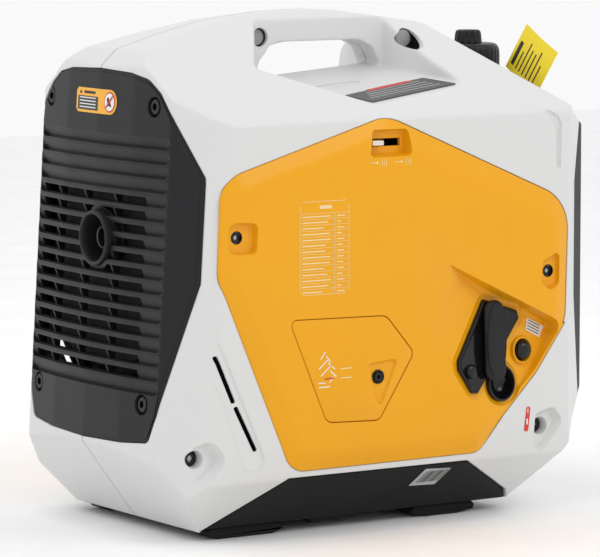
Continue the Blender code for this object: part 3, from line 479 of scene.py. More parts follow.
def layered(name, corners, levels, side=-1, steps=10, least=0.0006):
    """The rounded outline moved in by d at |Y| = level, for each (d, level)."""
    return from_rings(name, [[(x, side * level, z) for x, z in shrunk(corners, d, steps, least)]
        for d, level in levels])


def dished(name, corners, floor, rim, side, grow=0.0015):
    """A recess tool with flared, filleted walls."""
    levels = ((0.0022, floor), (0.001, floor + 0.0004), (0.0004, floor + 0.0014), (-grow, rim),
        (-grow - 0.004, rim + 0.02))
    return layered(name, corners, levels, side, 6)


def round_fitting(name, side, face, centre, profile, closed=False):
    """A turned piece or tool on a flank, from (rise above the face, radius) pairs."""
    return turned(name, [(side * (face + rise), r) for rise, r in profile], "Y", centre, 40, closed)


# Recess outline, |Y| of its floor and screw centre of the casing screws.
LOW_SCREWS = (([(-0.212, 0.0815, 0.004), (-0.1826, 0.0888, 0.006), (-0.1708, 0.0738, 0.006),
    (-0.1905, 0.056, 0.006), (-0.214, 0.06, 0.004)], 0.1285, (-0.1925, 0.0755)),
    ([(0.154, 0.061, 0.004), (0.16, 0.056, 0.004), (0.1785, 0.08, 0.005), (0.172, 0.09, 0.005),
    (0.156, 0.086, 0.004)], 0.132, (0.1625, 0.0765)))


def build_shells(outer):
    walls = copy(outer, "walls")
    join(walls,
        turned("boss", [(0.325, BOSS_R), (CAP_DECK + 0.001, BOSS_R), (CAP_DECK + 0.0026, BOSS_R - 0.0005),
        (CAP_DECK + 0.003, BOSS_R - 0.0012)], "Z", (CAP_X, 0.0)))
    hollow = casing_form(0.0035)
    cut(hollow, cylinder("floor", 0.044, "Z", (CAP_X, 0.0), CAP_DECK - 0.0035, 0.5))
    cut(walls, hollow, cylinder("recess", 0.0365, "Z", (CAP_X, 0.0), CAP_DECK, 0.5),
        cylinder("neck", 0.0245, "Z", (CAP_X, 0.0), 0.3, 0.5))
    cut(walls, grille_zone(0.0), prism("panel", PANEL_SIDE, "Y", -0.2, 0.2))
    pan_space = [(-0.1725, -0.02), (0.148, -0.02), (0.146, PAN_FLOOR), (0.1402, 0.0195), (0.0813, 0.0532),
        (-0.1043, 0.0532), (-0.1725, PAN_FLOOR - 0.0004)]
    cut(walls, prism("pan", pan_space, "Y", -0.2, 0.2))
    seat = rounded(COVER)
    for side in (-1, 1):
        join(walls, common(prism("flange", offset(seat, 0.004), "Y", side * 0.131, side * 0.137),
            casing_form(0.001)))
        cut(walls, side_prism("seat", seat, 0.1352, side))
        for corners, floor, (x, z) in LOW_SCREWS:
            boss = side_prism("boss", shrunk(corners, -0.003), floor - 0.011, side)
            join(walls, common(boss, casing_form(0.001)))
            cut(walls, dished("screw_recess", corners, floor, HALF_WIDTH, side, 0.0035),
                round_fitting("hole", side, floor, (x, z),
                ((-0.01, 0.007), (-0.001, 0.0076), (0.0002, 0.0082), (0.2 - floor, 0.0086))))
        groove = [(0.1555, 0.36), (0.17, 0.3465), (0.174, 0.34), (0.1745, 0.306), (0.1782, 0.304),
            (0.179, 0.344), (0.176, 0.35), (0.16, 0.361)]
        cut(walls, dished("groove", [(x, z, 0.0012) for x, z in groove], 0.1368, HALF_WIDTH, side, 0.0004))
        band = [(-0.192, 0.172, 0.005), (-0.1745, 0.176, 0.005), (-0.126, 0.066, 0.008),
            (-0.148, 0.06, 0.008)]
        cut(walls, dished("band", band, 0.1368, HALF_WIDTH, side, 0.0016))
        for x0, z0, x1, z1 in ((-0.18, 0.1625, -0.1617, 0.1215), (-0.1602, 0.1185, -0.14, 0.079)):
            slot = [(x0, z0, 0.0016), (x0 + 0.0048, z0, 0.0016), (x1 + 0.0048, z1, 0.0016),
                (x1, z1, 0.0016)]
            cut(walls, side_prism("slot", rounded(slot, 4), 0.1, side))
    cut(walls, side_prism("recoil_room", offset(RECOIL_MOUTH, 0.0045), 0.1, -1),
        side_prism("choke_room", offset(CHOKE_WINDOW, 0.009), 0.11, -1, shrunk(COVER, 0.0045)))
    deck_details(walls)
    for name, node_name, side in (("skin_right", "shell_right", -1), ("skin_left", "shell_left", 1)):
        half = copy(walls, name)
        low, high = sorted((side * 0.00045, side * 0.2))
        common(half, box("half", (-0.3, low, -0.1), (0.3, high, 0.6)))
        wear(half, name, WHITE, (node_name,), 40)
    drop(walls)


BLIND_HOLES = ((-0.0575, 0.4205, 0.0082), (0.0825, 0.4165, 0.0088))


def deck_details(walls):
    """Blind holes on the handle, and the shallow line on the deck."""
    for side in (-1, 1):
        for x, z, r in BLIND_HOLES:
            cut(walls,
                turned("blind", [(side * 0.012, r * 0.9), (side * 0.015, r), (side * 0.09, r * 1.05)], "Y",
                (x, z), 40))
    for side in (-1, 1):
        run = [(-0.026, side * 0.047), (-0.026, side * 0.056), (0.02, side * 0.056), (0.026, side * 0.0515),
            (0.02, side * 0.047)]
        cut(walls, from_rings("line", [[(x, y, height(SCOOP_FRONT, x, y) - 0.0012) for x, y in run],
            [(x, y, 0.412) for x, y in offset(run, 0.0004)]]))


def build_hidden_plugs():
    """Grey blanks in the handle's holes, a dark sheet of painted shade behind the side slots, and the
    casing screws.
    """
    for side, tag in ((-1, "right"), (1, "left")):
        blanks = []
        for (x, z, r), face in zip(BLIND_HOLES, (0.0133, 0.0345)):
            blanks.append(round_fitting("blank", side, face, (x, z),
                ((-0.0073, r * 0.9), (-0.0005, r * 0.88), (0.0, r * 0.82))))
        wear(merge(blanks), "handle_blanks_" + tag, PLUG)
        # Painted shade: a dark sheet behind the side slots stands for the shade inside the casing.
        slot_shade_sheet = [(-0.178, 0.168), (-0.162, 0.168), (-0.13, 0.074), (-0.146, 0.07)]
        wear(prism("slot_shade_sheet", slot_shade_sheet, "Y", side * 0.12, side * 0.1215), "slot_painted_shade_" + tag, PAINTED_SHADE)
        for name, (_, floor, (x, z)) in zip(("rear", "front"), LOW_SCREWS):
            face = floor - 0.01
            collar = round_fitting("collar", side, face, (x, z),
                ((-0.0006, 0.0074), (0.0006, 0.007), (0.001, 0.0064), (0.0004, 0.0056), (-0.0006, 0.0052)),
                True)
            wear(collar, "screw_collar_%s_%s" % (name, tag), CAP)
            screw("case_screw_%s_%s" % (name, tag), (x, side * (face + 0.0004), z), (0, side, 0), 0.006,
                depth=0.0022)


def screw(name, spot, direction, radius, depth=0.0016, body="casing"):
    """A socket-head screw: domed rim and a six-sided recess."""
    levels = [(-depth * 2, radius * 0.98), (depth * 0.4, radius), (depth * 0.8, radius * 0.95),
        (depth, radius * 0.82)]
    head = turned("head", levels, "Z", (0.0, 0.0), 36)
    cut(head, prism("socket", circle(radius * 0.52, 6), "Z", -depth, depth * 3))
    turn = Vector((0, 0, 1)).rotation_difference(Vector(direction)).to_matrix().to_4x4()
    head.data.transform(Matrix.Translation(spot) @ turn)
    return wear(head, name, DARK_STEEL, body=body)


# ---------------------------------------------------------------- exhaust end
def build_grille(outer):
    plate = common(copy(outer, "plate"), grille_zone(0.0006))
    cut(plate, casing_form(0.009))
    field_rim = cut(grille_zone(-0.01), grille_zone(0.0034))
    lip = cut(casing_form(-0.01), casing_form(0.0009))
    cut(plate, common(field_rim, lip))
    louvres = []
    for row in range(-1, 17):
        ridge = SLOT_LOWEST + SLOT_PITCH * (row + 0.5)
        louvres.append(louvre(ridge - SLOT_PITCH + 0.0021, ridge - 0.0004))
    cut(plate, merge(louvres))
    slots = []
    for row in range(SLOT_ROWS):
        z = SLOT_LOWEST + SLOT_PITCH * row
        for low, high in SLOT_COLUMNS:
            slots.append(box("slot", (-0.3, low, z - 0.0036), (-0.1, high, z + 0.0036)))
    slots = cut(merge(slots), cylinder("guard", 0.0275, "X", EXHAUST, -0.4, 0.0))
    cut(plate, slots, cylinder("hole", 0.024, "X", EXHAUST, -0.4, 0.0))
    for y, z in ((0.0925, 0.369), (-0.0835, 0.369), (0.09, 0.119), (-0.086, 0.119)):
        x = rear_face(y, z)
        cut(plate, turned("counterbore", [(x - 0.03, 0.0108), (x - 0.0004, 0.009), (x + 0.0038, 0.0078)],
            "X", (y, z), 40))
        screw("grille_screw_%d%d" % (y > 0, z > 0.2), (x + 0.0032, y, z), (-1, 0, REAR_LEAN), 0.0068,
            depth=0.003)
    wear(plate, "grille_plate", BLACK, ("rear_grille",), 30)
    ring = turned("ring", [(-0.204, 0.0237), (-0.2178, 0.0237), (-0.2188, 0.0233), (-0.2194, 0.0225),
        (-0.2196, 0.0216), (-0.2192, 0.0206), (-0.218, 0.0199), (-0.212, 0.0192), (-0.204, 0.0186)], "X",
        EXHAUST, 72, True)
    wear(ring, "exhaust_collar", BLACK, ("exhaust_ring",))
    pipe = turned("pipe", [(-0.1905, 0.0095), (-0.2094, 0.0095), (-0.2099, 0.0091), (-0.21, 0.0086),
        (-0.2094, 0.0079), (-0.1905, 0.0078)], "X", EXHAUST, 48, True)
    wear(pipe, "tail_tube", HOT_STEEL, ("tailpipe",))
    # Painted shade: a dark sheet just inside the grille, so that its slots read as shade.
    painted_shade_sheet = cut(common(casing_form(0.0145), grille_zone(0.006)), casing_form(0.0155),
        cylinder("hole", 0.012, "X", EXHAUST, -0.4, 0.0))
    wear(painted_shade_sheet, "grille_painted_shade", PAINTED_SHADE)
    rear_label(plate)


def rear_face(y, z):
    """X of the slightly convex exhaust end."""
    bow = 0.002 * min(abs(y) / 0.055, 1.0) + 0.006 * max(abs(y) - 0.055, 0.0) / 0.053
    return -0.232 + bow + REAR_LEAN * z


def louvre(bottom, top):
    """One row's recess: flush at the top, deepest above the ridge below, fading out at both ends."""
    rings = []
    ends = ((0.1085, 0.0, 0.006), (0.1055, 0.75, 0.0022), (0.103, 1.0, 0.0), (0.08, 1.0, 0.0),
        (0.055, 1.0, 0.0))
    stations = [(-y, share, rise) for y, share, rise in ends] + [(0.0, 1.0, 0.0)] + list(reversed(ends))
    for y, share, rise in stations:
        x = rear_face(y, 0.0)
        deep = 0.0036 * share + 0.0002
        low = bottom + rise * 0.8
        rings.append([(x + REAR_LEAN * low - 0.02, y, low), (x + REAR_LEAN * low + deep, y, low),
            (x + REAR_LEAN * low + deep, y, low + 0.0012), (x + REAR_LEAN * top + 0.0001, y, top),
            (x + REAR_LEAN * top - 0.02, y, top)])
    return from_rings("louvre", rings)


def rear_label(plate):
    skin, ink, paper, top, over = (surface(plate, "X", -1, lift) for lift in (0.0003, 0.0005, 0.0007,
        0.0009, 0.0011))
    right, left, low, high = -0.029, 0.0395, 0.359, 0.38
    half = (high - low) / 2
    cap = [(right + half - half * math.cos(t), low + half + half * math.sin(t))
        for t in [math.pi / 2 * (k / 8 - 1) for k in range(17)]]
    outline = [(left, high - 0.003), (left - 0.003, high)] + list(reversed(cap)) + [(left - 0.003, low),
        (left, low + 0.003)]
    printed("rear_label", [outline], skin, LABEL_ORANGE, PRINT_STEP)
    printed("rear_label_block", [bar(0.001, 0.3612, 0.0355, 0.0118)], ink, LABEL_BLACK, PRINT_STEP)
    printed("rear_label_lines", [bar(0.004, 0.363 + 0.0027 * k, 0.029, 0.0009) for k in range(4)], paper,
        LABEL_WHITE, PRINT_STEP)
    printed("rear_label_head",
        [bar(0.006, 0.3752, 0.02, 0.0022), [(0.03, 0.375), (0.034, 0.375), (0.032, 0.3782)]], ink, INK,
        PRINT_STEP)
    centre = (right + half + 0.0006, low + half)
    printed("rear_label_ring", [circle(0.0088, 32, centre)], ink, LABEL_RED, PRINT_STEP)
    printed("rear_label_disc", [circle(0.0075, 32, centre)], paper, LABEL_WHITE, PRINT_STEP)
    a, b = centre
    printed("rear_label_mark",
        [[(a - 0.0035, b - 0.004), (a + 0.0025, b - 0.003), (a + 0.004, b + 0.003),
        (a + 0.0015, b + 0.0042), (a - 0.001, b + 0.0004)]], top, INK)
    slash = [(a - 0.0058, b + 0.0046), (a - 0.0046, b + 0.0058), (a + 0.0058, b - 0.0046),
        (a + 0.0046, b - 0.0058)]
    printed("rear_label_slash", [slash], over, LABEL_RED)


# ---------------------------------------------------------------- side covers
def pocket_floor(x, z):
    x0, z0, in_x, in_z = POCKET_EDGE
    return COVER_FACE - POCKET_TILT * ((x - x0) * in_x + (z - z0) * in_z)


def ramp_floor(x, z):
    x0, z0, in_x, in_z = POCKET_RAMP
    return COVER_FACE - RAMP_TILT * ((x - x0) * in_x + (z - z0) * in_z)


def on_floor(name, layers, closed=False):
    return from_rings(name, [[(x, -(pocket_floor(x, z) + lift), z) for x, z in outline]
        for outline, lift in layers], closed)


def discs(name, centre, levels, segments=48, closed=False):
    """Circles of (radius, lift) stacked on the pocket floor."""
    return on_floor(name, [(circle(r, segments, centre), lift) for r, lift in levels], closed)


def cover_body(side):
    """Raised field, rounded crease, sloping flank and a small round at the rim."""
    top = HALF_WIDTH - 0.0002
    levels = [(0.0, 0.1356), (0.0, top - 0.0012), (0.0002, top - 0.0006), (0.0006, top - 0.0001),
        (0.0012, top + 0.0002)]
    slope = (COVER_FACE - 0.0006 - top) / (FLANK_WIDTH - 0.004)
    levels += [(0.0012 + d, top + 0.0002 + slope * d) for d in (0.004, 0.009, FLANK_WIDTH - 0.0065)]
    levels += [(FLANK_WIDTH - 0.0025, COVER_FACE - 0.00075), (FLANK_WIDTH - 0.0008, COVER_FACE - 0.00038),
        (FLANK_WIDTH + 0.0012, COVER_FACE - 0.00015), (FLANK_WIDTH + 0.0036, COVER_FACE)]
    return from_rings("cover", [[(x, side * level, z) for x, z in shrunk(COVER, GAP + d, 12, 0.004)]
        for d, level in levels])


# Recess outline and screw centre of each screw in the covers.
COVER_SCREWS = (([(-0.1665, 0.2475, 0.006), (-0.1415, 0.2475, 0.005), (-0.14, 0.2725, 0.005),
    (-0.166, 0.274, 0.006)], (-0.157, 0.261)),
    ([(0.1545, 0.205, 0.004), (0.164, 0.1985, 0.004), (0.1748, 0.2035, 0.004), (0.1748, 0.232, 0.004),
    (0.156, 0.224, 0.004)], (0.166, 0.2145)))


def screw_recesses(cover, side, tag):
    for number, (corners, (x, z)) in enumerate(COVER_SCREWS):
        cut(cover, dished("recess", corners, 0.1382, COVER_FACE, side, 0.0004))
        cut(cover, cylinder("hole", 0.0056, "Y", (x, z), side * 0.1, side * 0.2))
        well = turned("well", [(side * 0.129, 0.0058), (side * 0.1378, 0.0058), (side * 0.1384, 0.0054),
            (side * 0.1384, 0.005), (side * 0.129, 0.0046)], "Y", (x, z), 40, True)
        wear(well, "cover_well_%d_%s" % (number, tag), BLACK)
        screw("cover_screw_%d_%s" % (number, tag), (x, side * 0.1352, z), (0, side, 0), 0.0043)


def build_covers():
    plain = cover_body(1)
    screw_recesses(plain, 1, "left")
    wear(plain, "cover_left", YELLOW, ("side_cover_left",), 35)

    cover = cover_body(-1)
    join(cover, prism("behind", offset(RECOIL_MOUTH, 0.003), "Y", -0.116, -0.14),
        prism("behind_choke", offset(CHOKE_WINDOW, 0.006), "Y", -0.13, -0.137))
    sharp = [(x, z, 0.006) for x, z in RECOIL_MOUTH]
    pocket = [(shrunk(sharp, d, 8), lift) for d, lift in ((0.004, 0.0), (0.0016, 0.0005), (0.0004, 0.0018),
        (0.0, 0.004), (-0.006, 0.05))]
    ramp = [(0.0, 0.05), (0.25, 0.05), (0.25, 0.3), (0.0, 0.3)]
    rings = [[(x, -(ramp_floor(x, z) + lift), z) for x, z in ramp] for lift in (0.0, 0.15)]
    cut(cover, common(on_floor("pocket", pocket), from_rings("ramp", rings)), sunk_seat())
    window = [(x, z, 0.0035) for x, z in CHOKE_WINDOW]
    cut(cover,
        layered("window", window, ((0.003, 0.1335), (0.0016, 0.1338), (0.0008, 0.1352), (-0.001, 0.1445),
        (-0.005, 0.16)), steps=8))
    screw_recesses(cover, -1, "right")
    cut(cover, prism("door_seat", shrunk(DOOR, -0.0003), "Y", -0.1416, -0.2),
        cylinder("door_screw_hole", 0.0032, "Y", DOOR_SCREW, -0.12, -0.2),
        prism("access", DOOR_ACCESS, "Y", -0.12, -0.2), box("choke_slot", (-0.023, -0.2, 0.3312),
        (0.011, -0.11, 0.3378)), cylinder("rope_hole", 0.01, "Y", ROPE, -0.11, -0.2),
        cylinder("primer_hole", 0.0095, "Y", PRIMER, -0.11, -0.2))
    wear(cover, "cover_right", YELLOW, ("side_cover_right",), 35)
    build_door()
    build_recoil()
    build_choke()
    cover_prints()


def sunk_seat():
    """The shallow soft-edged seat round the recoil plate and the rope cup."""
    rings = []
    for grow, lift in ((0.0016, -0.0016), (0.0032, -0.0014), (0.0046, -0.0006), (0.0056, 0.0002),
            (0.008, 0.015)):
        plate = shrunk([(x, z, 0.004) for x, z, _ in RECOIL_PLATE], -grow, 6)
        rings.append([(x, -(pocket_floor(x, z) + lift), z) for x, z in plate])
    seat = from_rings("seat", rings)
    bowl = on_floor("bowl",
        [(circle(0.016 + grow, 56, CUP), lift) for grow, lift in ((0.0004, -0.0118), (0.0004, -0.0016),
        (0.0026, -0.0012), (0.0036, -0.0004), (0.0042, 0.0004), (0.006, 0.015))])
    return join(seat, bowl)


def build_door():
    levels = [(0.0, 0.142), (0.0, 0.1444), (0.0002, 0.1448), (0.0006, 0.14505)]
    door = from_rings("door",
        [[(x, -level, z) for x, z in shrunk(DOOR, 0.0004 + d)] for d, level in levels])
    recess = [(-0.0285, 0.1465, 0.003), (0.002, 0.149, 0.003), (-0.017, 0.105, 0.003)]
    cut(door, dished("recess", recess, 0.1428, COVER_FACE, -1, 0.0002),
        cylinder("hole", 0.003, "Y", DOOR_SCREW, -0.13, -0.2))
    wear(door, "door_panel", YELLOW, ("maintenance_door",), 35, body="door")
    well = turned("well", [(-0.1426, 0.0062), (-0.144, 0.006), (-0.1443, 0.0054), (-0.1432, 0.0042),
        (-0.1426, 0.0042)], "Y", DOOR_SCREW, 40, True)
    wear(well, "door_screw_well", BLACK, body="door")
    head = screw("door_screw_head", (DOOR_SCREW[0], -0.1432, DOOR_SCREW[1]), (0, -1, 0), 0.004,
        depth=0.0012, body="door_screw")
    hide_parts("door_screw")
    face = on_side(COVER_FACE, 0.0002)
    strokes = []
    for x, z, turn, length in ((-0.077, 0.1535, 0.9, 0.008), (-0.072, 0.156, -0.9, 0.007),
            (-0.079, 0.145, 0.7, 0.012), (-0.077, 0.139, 0.7, 0.014), (-0.07, 0.15, -0.7, 0.009),
            (-0.068, 0.143, -0.7, 0.008), (-0.0795, 0.133, 0.0, 0.007), (-0.079, 0.1295, 0.0, 0.011),
            (-0.068, 0.133, 0.9, 0.007)):
        strokes.append(stroke(x, z, turn, length, 0.0009))
    printed("door_sticker", strokes, face, LABEL_WHITE, body="door")
    printed("door_sticker_red", [[(-0.0735, 0.136), (-0.064, 0.1365), (-0.064, 0.1377), (-0.0735, 0.1372)]],
        on_side(COVER_FACE, 0.0003), LABEL_RED, body="door")
    printed("door_print", [bar(-0.057, 0.144, 0.011, 0.001), bar(-0.057, 0.136, 0.011, 0.001)], face, FADED,
        body="door")


def build_recoil():
    flat = [(shrunk(RECOIL_PLATE, d, 6), lift) for d, lift in ((0.0, -0.0012), (0.0, 0.001),
        (0.0004, 0.0018), (0.0012, 0.0024), (0.0022, 0.0024), (0.003, 0.0016), (0.004, 0.0014))]
    plate = on_floor("plate", flat)
    cut(plate, cylinder("clear", 0.0166, "Y", CUP, -0.1, -0.2))
    wear(plate, "recoil_panel", GLOSS, ("recoil_plate",))
    dome = discs("dome", (0.08, 0.132), ((0.0064, 0.0012), (0.0062, 0.003), (0.0054, 0.0044),
        (0.004, 0.0053), (0.002, 0.0057), (0.0006, 0.0058)), 40)
    wear(dome, "recoil_stud", GLOSS)
    cup = discs("cup", CUP, ((0.015, -0.0115), (0.016, -0.01), (0.016, 0.0016), (0.0156, 0.0026),
        (0.0149, 0.003), (0.0141, 0.0028), (0.0134, 0.0012), (0.0126, -0.003), (0.011, -0.0065),
        (0.008, -0.0088), (0.004, -0.0098), (0.001, -0.01)), 64)
    cut(cup, cylinder("bore", 0.0045, "Y", ROPE, -0.1, -0.2))
    wear(cup, "rope_cup", GLOSS, ("rope_guide",))
    corners = [(0.093, 0.1235, 0.009), (0.1165, 0.122, 0.009), (0.1195, 0.191, 0.0105),
        (0.097, 0.193, 0.0105)]
    layers = ((0.003, 0.0034), (0.0008, 0.004), (0.0, 0.0054), (0.0, 0.0072), (0.001, 0.0084),
        (0.0026, 0.009), (0.0046, 0.0093))
    grip = on_floor("grip", [(shrunk(corners, d, 10), lift) for d, lift in layers])
    pad = [(0.0, 0.007), (0.0, 0.0093), (0.0005, 0.0101), (0.0012, 0.0104), (0.0016, 0.0101),
        (0.0021, 0.0102), (0.0035, 0.0104), (0.007, 0.0105)]
    join(grip,
        on_floor("pad", [(leaf((0.107, 0.158), 0.0112 - d, 0.0325 - d, 0.09), lift) for d, lift in pad]))
    wear(grip, "pull_grip", GRIP, ("recoil_grip",), 40, body="recoil_pull")
    start = -(pocket_floor(*ROPE) + 0.0034)
    rope = twisted_rope("pull_rope", Vector((ROPE[0], start, ROPE[1])), Vector((ROPE[0], 0.0, ROPE[1])),
        0.0022)
    wear(rope, "pull_rope", ROPE_FIBRE, ("starter_rope",), 60, body="recoil_pull")
    rim = discs("rim", PRIMER, ((0.0128, -0.0004), (0.0124, 0.0016), (0.0118, 0.003), (0.011, 0.0035),
        (0.0102, 0.0032), (0.0097, 0.002), (0.0095, -0.0004)), closed=True)
    wear(rim, "primer_rim", YELLOW)
    bulb = turned("bulb", [(-0.118, 0.0088), (-0.131, 0.0088), (-0.1325, 0.009), (-0.1345, 0.0086),
        (-0.1365, 0.0076), (-0.138, 0.0062), (-0.139, 0.0044), (-0.1395, 0.002)], "Y", PRIMER, 48)
    wear(bulb, "primer_dome", GLOSS, ("primer_bulb",), body="primer_bulb")

    def floor(lift):
        return lambda x, z: Vector((x, -(pocket_floor(x, z) + lift), z))

    slab = [(0.149, 0.1625), (0.1515, 0.173), (0.1712, 0.164), (0.165, 0.1545)]
    printed("pocket_label", [slab], floor(0.0003), LABEL_WHITE)
    lines = [[(0.1512 + 0.0007 * k, 0.1665 + 0.0024 * k), (0.1512 + 0.0007 * k, 0.1656 + 0.0024 * k),
        (0.1648 + 0.0007 * k, 0.1593 + 0.0024 * k), (0.1648 + 0.0007 * k, 0.1602 + 0.0024 * k)]
        for k in range(-1, 3)]
    printed("pocket_label_lines", lines, floor(0.0005), INK)


def leaf(centre, half_width, half_height, lean):
    """An upright leaf outline: round at the middle, narrow towards both ends, leaning to the right."""
    points = []
    for k in range(64):
        angle = 2 * math.pi * k / 64
        up = math.copysign(abs(math.sin(angle)) ** 0.85, math.sin(angle))
        across = math.copysign(abs(math.cos(angle)) ** 0.75, math.cos(angle))
        points.append((centre[0] + half_width * across + lean * half_height * up,
            centre[1] + half_height * up))
    return points


def twisted_rope(name, start, end, radius, segments=120, sides=12):
    """A laid cord: three strands wound round the run."""
    rings = []
    for i in range(segments + 1):
        t = i / segments
        centre = start.lerp(end, t)
        turn = t * (end - start).length / 0.014 * 2 * math.pi
        ring = []
        for k in range(sides):
            angle = 2 * math.pi * k / sides
            r = radius * (0.9 + 0.1 * math.cos(3 * (angle - turn)))
            ring.append((centre.x + r * math.cos(angle), centre.y, centre.z + r * math.sin(angle)))
        rings.append(ring)
    return from_rings(name, rings)


def build_choke():
    tab = [(-0.0215, 0.3322, 0.0009), (-0.0095, 0.3322, 0.0009), (-0.0095, 0.3368, 0.0009),
        (-0.0215, 0.3368, 0.0009)]
    levels = ((0.0, 0.133), (0.0, 0.1394), (0.0004, 0.1402), (0.001, 0.1405))
    knob = layered("knob", tab, levels, -1, 5, 0.0003)
    join(knob, box("stem", (-0.019, -0.134, 0.3333), (-0.012, -0.08, 0.3348)))
    wear(knob, "choke_tab", PALE_METAL, ("choke_lever",), body="choke_lever")
    # Painted shade: a dark sheet behind the choke window stands for the shade inside.
    sill = [(-0.025, 0.3345, 0.002), (-0.003, 0.3345, 0.003), (-0.003, 0.3445, 0.003),
        (-0.0215, 0.3445, 0.002)]
    shade = layered("shade", sill, ((0.0, 0.129), (0.0, 0.13)), -1, 6)
    wear(shade, "choke_painted_shade", PAINTED_SHADE)


def cover_prints():
    """Generic table, lines and arrows printed on the cover, without any lettering."""
    face = on_side(COVER_FACE, 0.00012)
    x0, x1, z0, z1 = -0.0985, -0.049, 0.209, 0.288
    line = 0.0005
    frame_lines = [bar(x0 + 0.003, z0, x1 - x0 - 0.006, line), bar(x0 + 0.003, z1, x1 - x0 - 0.006, line),
        bar(x0, z0 + 0.003, line, z1 - z0 - 0.006), bar(x1, z0 + 0.003, line, z1 - z0 - 0.006),
        bar(x1 - 0.0145, z0, line, z1 - z0 - 0.01)]
    rows = 14
    pitch = (z1 - z0 - 0.01) / rows
    for k in range(rows):
        z = z0 + pitch * (k + 1)
        frame_lines.append(bar(x0, z, x1 - x0, line * 0.7))
        length = 0.02 + 0.009 * abs(math.sin(2.3 * k))
        frame_lines.append(bar(x0 + 0.0025, z - pitch * 0.62, length, 0.0011))
        frame_lines.append(bar(x1 - 0.012, z - pitch * 0.62, 0.004 + 0.004 * abs(math.cos(1.7 * k)),
            0.0011))
    frame_lines.append(bar(x0 + 0.02, z1 - 0.0062, 0.0125, 0.003))
    printed("cover_table", frame_lines, face, FADED)
    arrows = [bar(-0.027, 0.318, 0.0065, 0.0007), [(-0.0205, 0.317), (-0.018, 0.31835), (-0.0205, 0.3197)],
        bar(-0.002, 0.318, 0.0065, 0.0007), [(0.0045, 0.317), (0.007, 0.31835), (0.0045, 0.3197)]]
    for x in (-0.015, 0.0095):
        arrows += [bar(x, 0.315, 0.0006, 0.0062), bar(x + 0.0042, 0.315, 0.0006, 0.0062),
            bar(x + 0.0022, 0.3165, 0.0006, 0.0034)]
    printed("choke_symbols", arrows, face, FADED)
    side = on_side(HALF_WIDTH, 0.0002)
    tag = [(0.14, 0.0735, 0.0022), (0.145, 0.074, 0.0022), (0.1475, 0.096, 0.0022), (0.143, 0.0955, 0.0022)]
    printed("red_label", [rounded(tag, 5)], side, LABEL_RED)
    printed("red_label_lines", [bar(0.144, 0.09, 0.0008, 0.004), bar(0.1428, 0.08, 0.0016, 0.005)],
        on_side(HALF_WIDTH, 0.0004), LABEL_WHITE)


# ---------------------------------------------------------------- top
def build_deck_plate():
    corners = [(-0.004, -0.1145, 0.001), (0.0955, -0.0975, 0.001), (0.0795, -0.069, 0.001),
        (-0.0145, -0.087, 0.001)]

    def deck(lift):
        return lambda x, y: Vector((x, y, height(SCOOP_FRONT, x, y) + lift))
    rings = [[deck(lift)(x, y) for x, y in shrunk(corners, d, 4, 0.0004)] for d, lift in ((0.0, 0.0002),
        (0.0, 0.001), (0.0004, 0.0013))]
    wear(from_rings("plate", rings), "deck_label", GREY, ("deck_plate",))
    printed("deck_label_red", [[(0.012, -0.086), (0.064, -0.0762), (0.06, -0.0722), (0.01, -0.0815)]],
        deck(0.0015), LABEL_RED)
    lines = []
    for k in range(4):
        y = -0.0905 - 0.0052 * k
        lines.append([(0.006 - 0.002 * k, y), (0.07 + 0.0035 * k, y + 0.0118),
            (0.07 + 0.0035 * k, y + 0.0133), (0.006 - 0.002 * k, y + 0.0015)])
    printed("deck_label_lines", lines, deck(0.0015), LABEL_GREY)


def ribbed(radius, depth, ribs, segments, centre):
    """A circle with shallow grip ribs."""
    points = []
    for i in range(segments):
        angle = 2 * math.pi * i / segments
        r = radius - depth * (0.5 - 0.5 * math.cos(ribs * angle)) ** 2
        points.append((centre[0] + r * math.cos(angle), centre[1] + r * math.sin(angle)))
    return points


def knurled(name, ribs, segments, levels):
    """A ribbed knob on the filler's axis, from (z, radius, rib depth) levels."""
    return from_rings(name, [[(x, y, z) for x, y in ribbed(r, depth, ribs, segments, (CAP_X, 0.0))]
        for z, r, depth in levels])


def build_cap():
    centre = (CAP_X, 0.0)
    levels = ((CAP_DECK + GAP, 0.0282, 0.0), (CAP_DECK + 0.0012, 0.0285, 0.0),
        (CAP_DECK + 0.004, 0.0285, 0.001), (0.3985, 0.0285, 0.001), (0.4015, 0.0283, 0.0008),
        (0.4042, 0.0277, 0.0004), (0.4063, 0.0266, 0.0), (0.4077, 0.025, 0.0), (0.4085, 0.0225, 0.0))
    cap = knurled("cap", 30, 360, levels)
    cut(cap, cylinder("thread", 0.0204, "Z", centre, 0.36, 0.393))
    wear(cap, "filler_cap", CAP, ("fuel_cap",), body="fuel_cap")
    levels = ((0.4088, 0.0124, 0.0), (0.4098, 0.0125, 0.001), (0.4165, 0.0118, 0.0016),
        (0.4185, 0.0113, 0.0012), (0.4197, 0.0105, 0.0006), (0.4203, 0.0094, 0.0))
    knob = knurled("knob", 12, 192, levels)
    wear(knob, "vent_dial", CAP, ("vent_knob",), body="vent_knob")
    gasket = turned("gasket", [(CAP_DECK + 0.0002, 0.0338), (CAP_DECK + 0.0012, 0.0342),
        (CAP_DECK + 0.0018, 0.0332), (CAP_DECK + 0.0012, 0.0322), (CAP_DECK + 0.0002, 0.0326)], "Z", centre,
        64, True)
    wear(gasket, "filler_gasket", RUBBER)


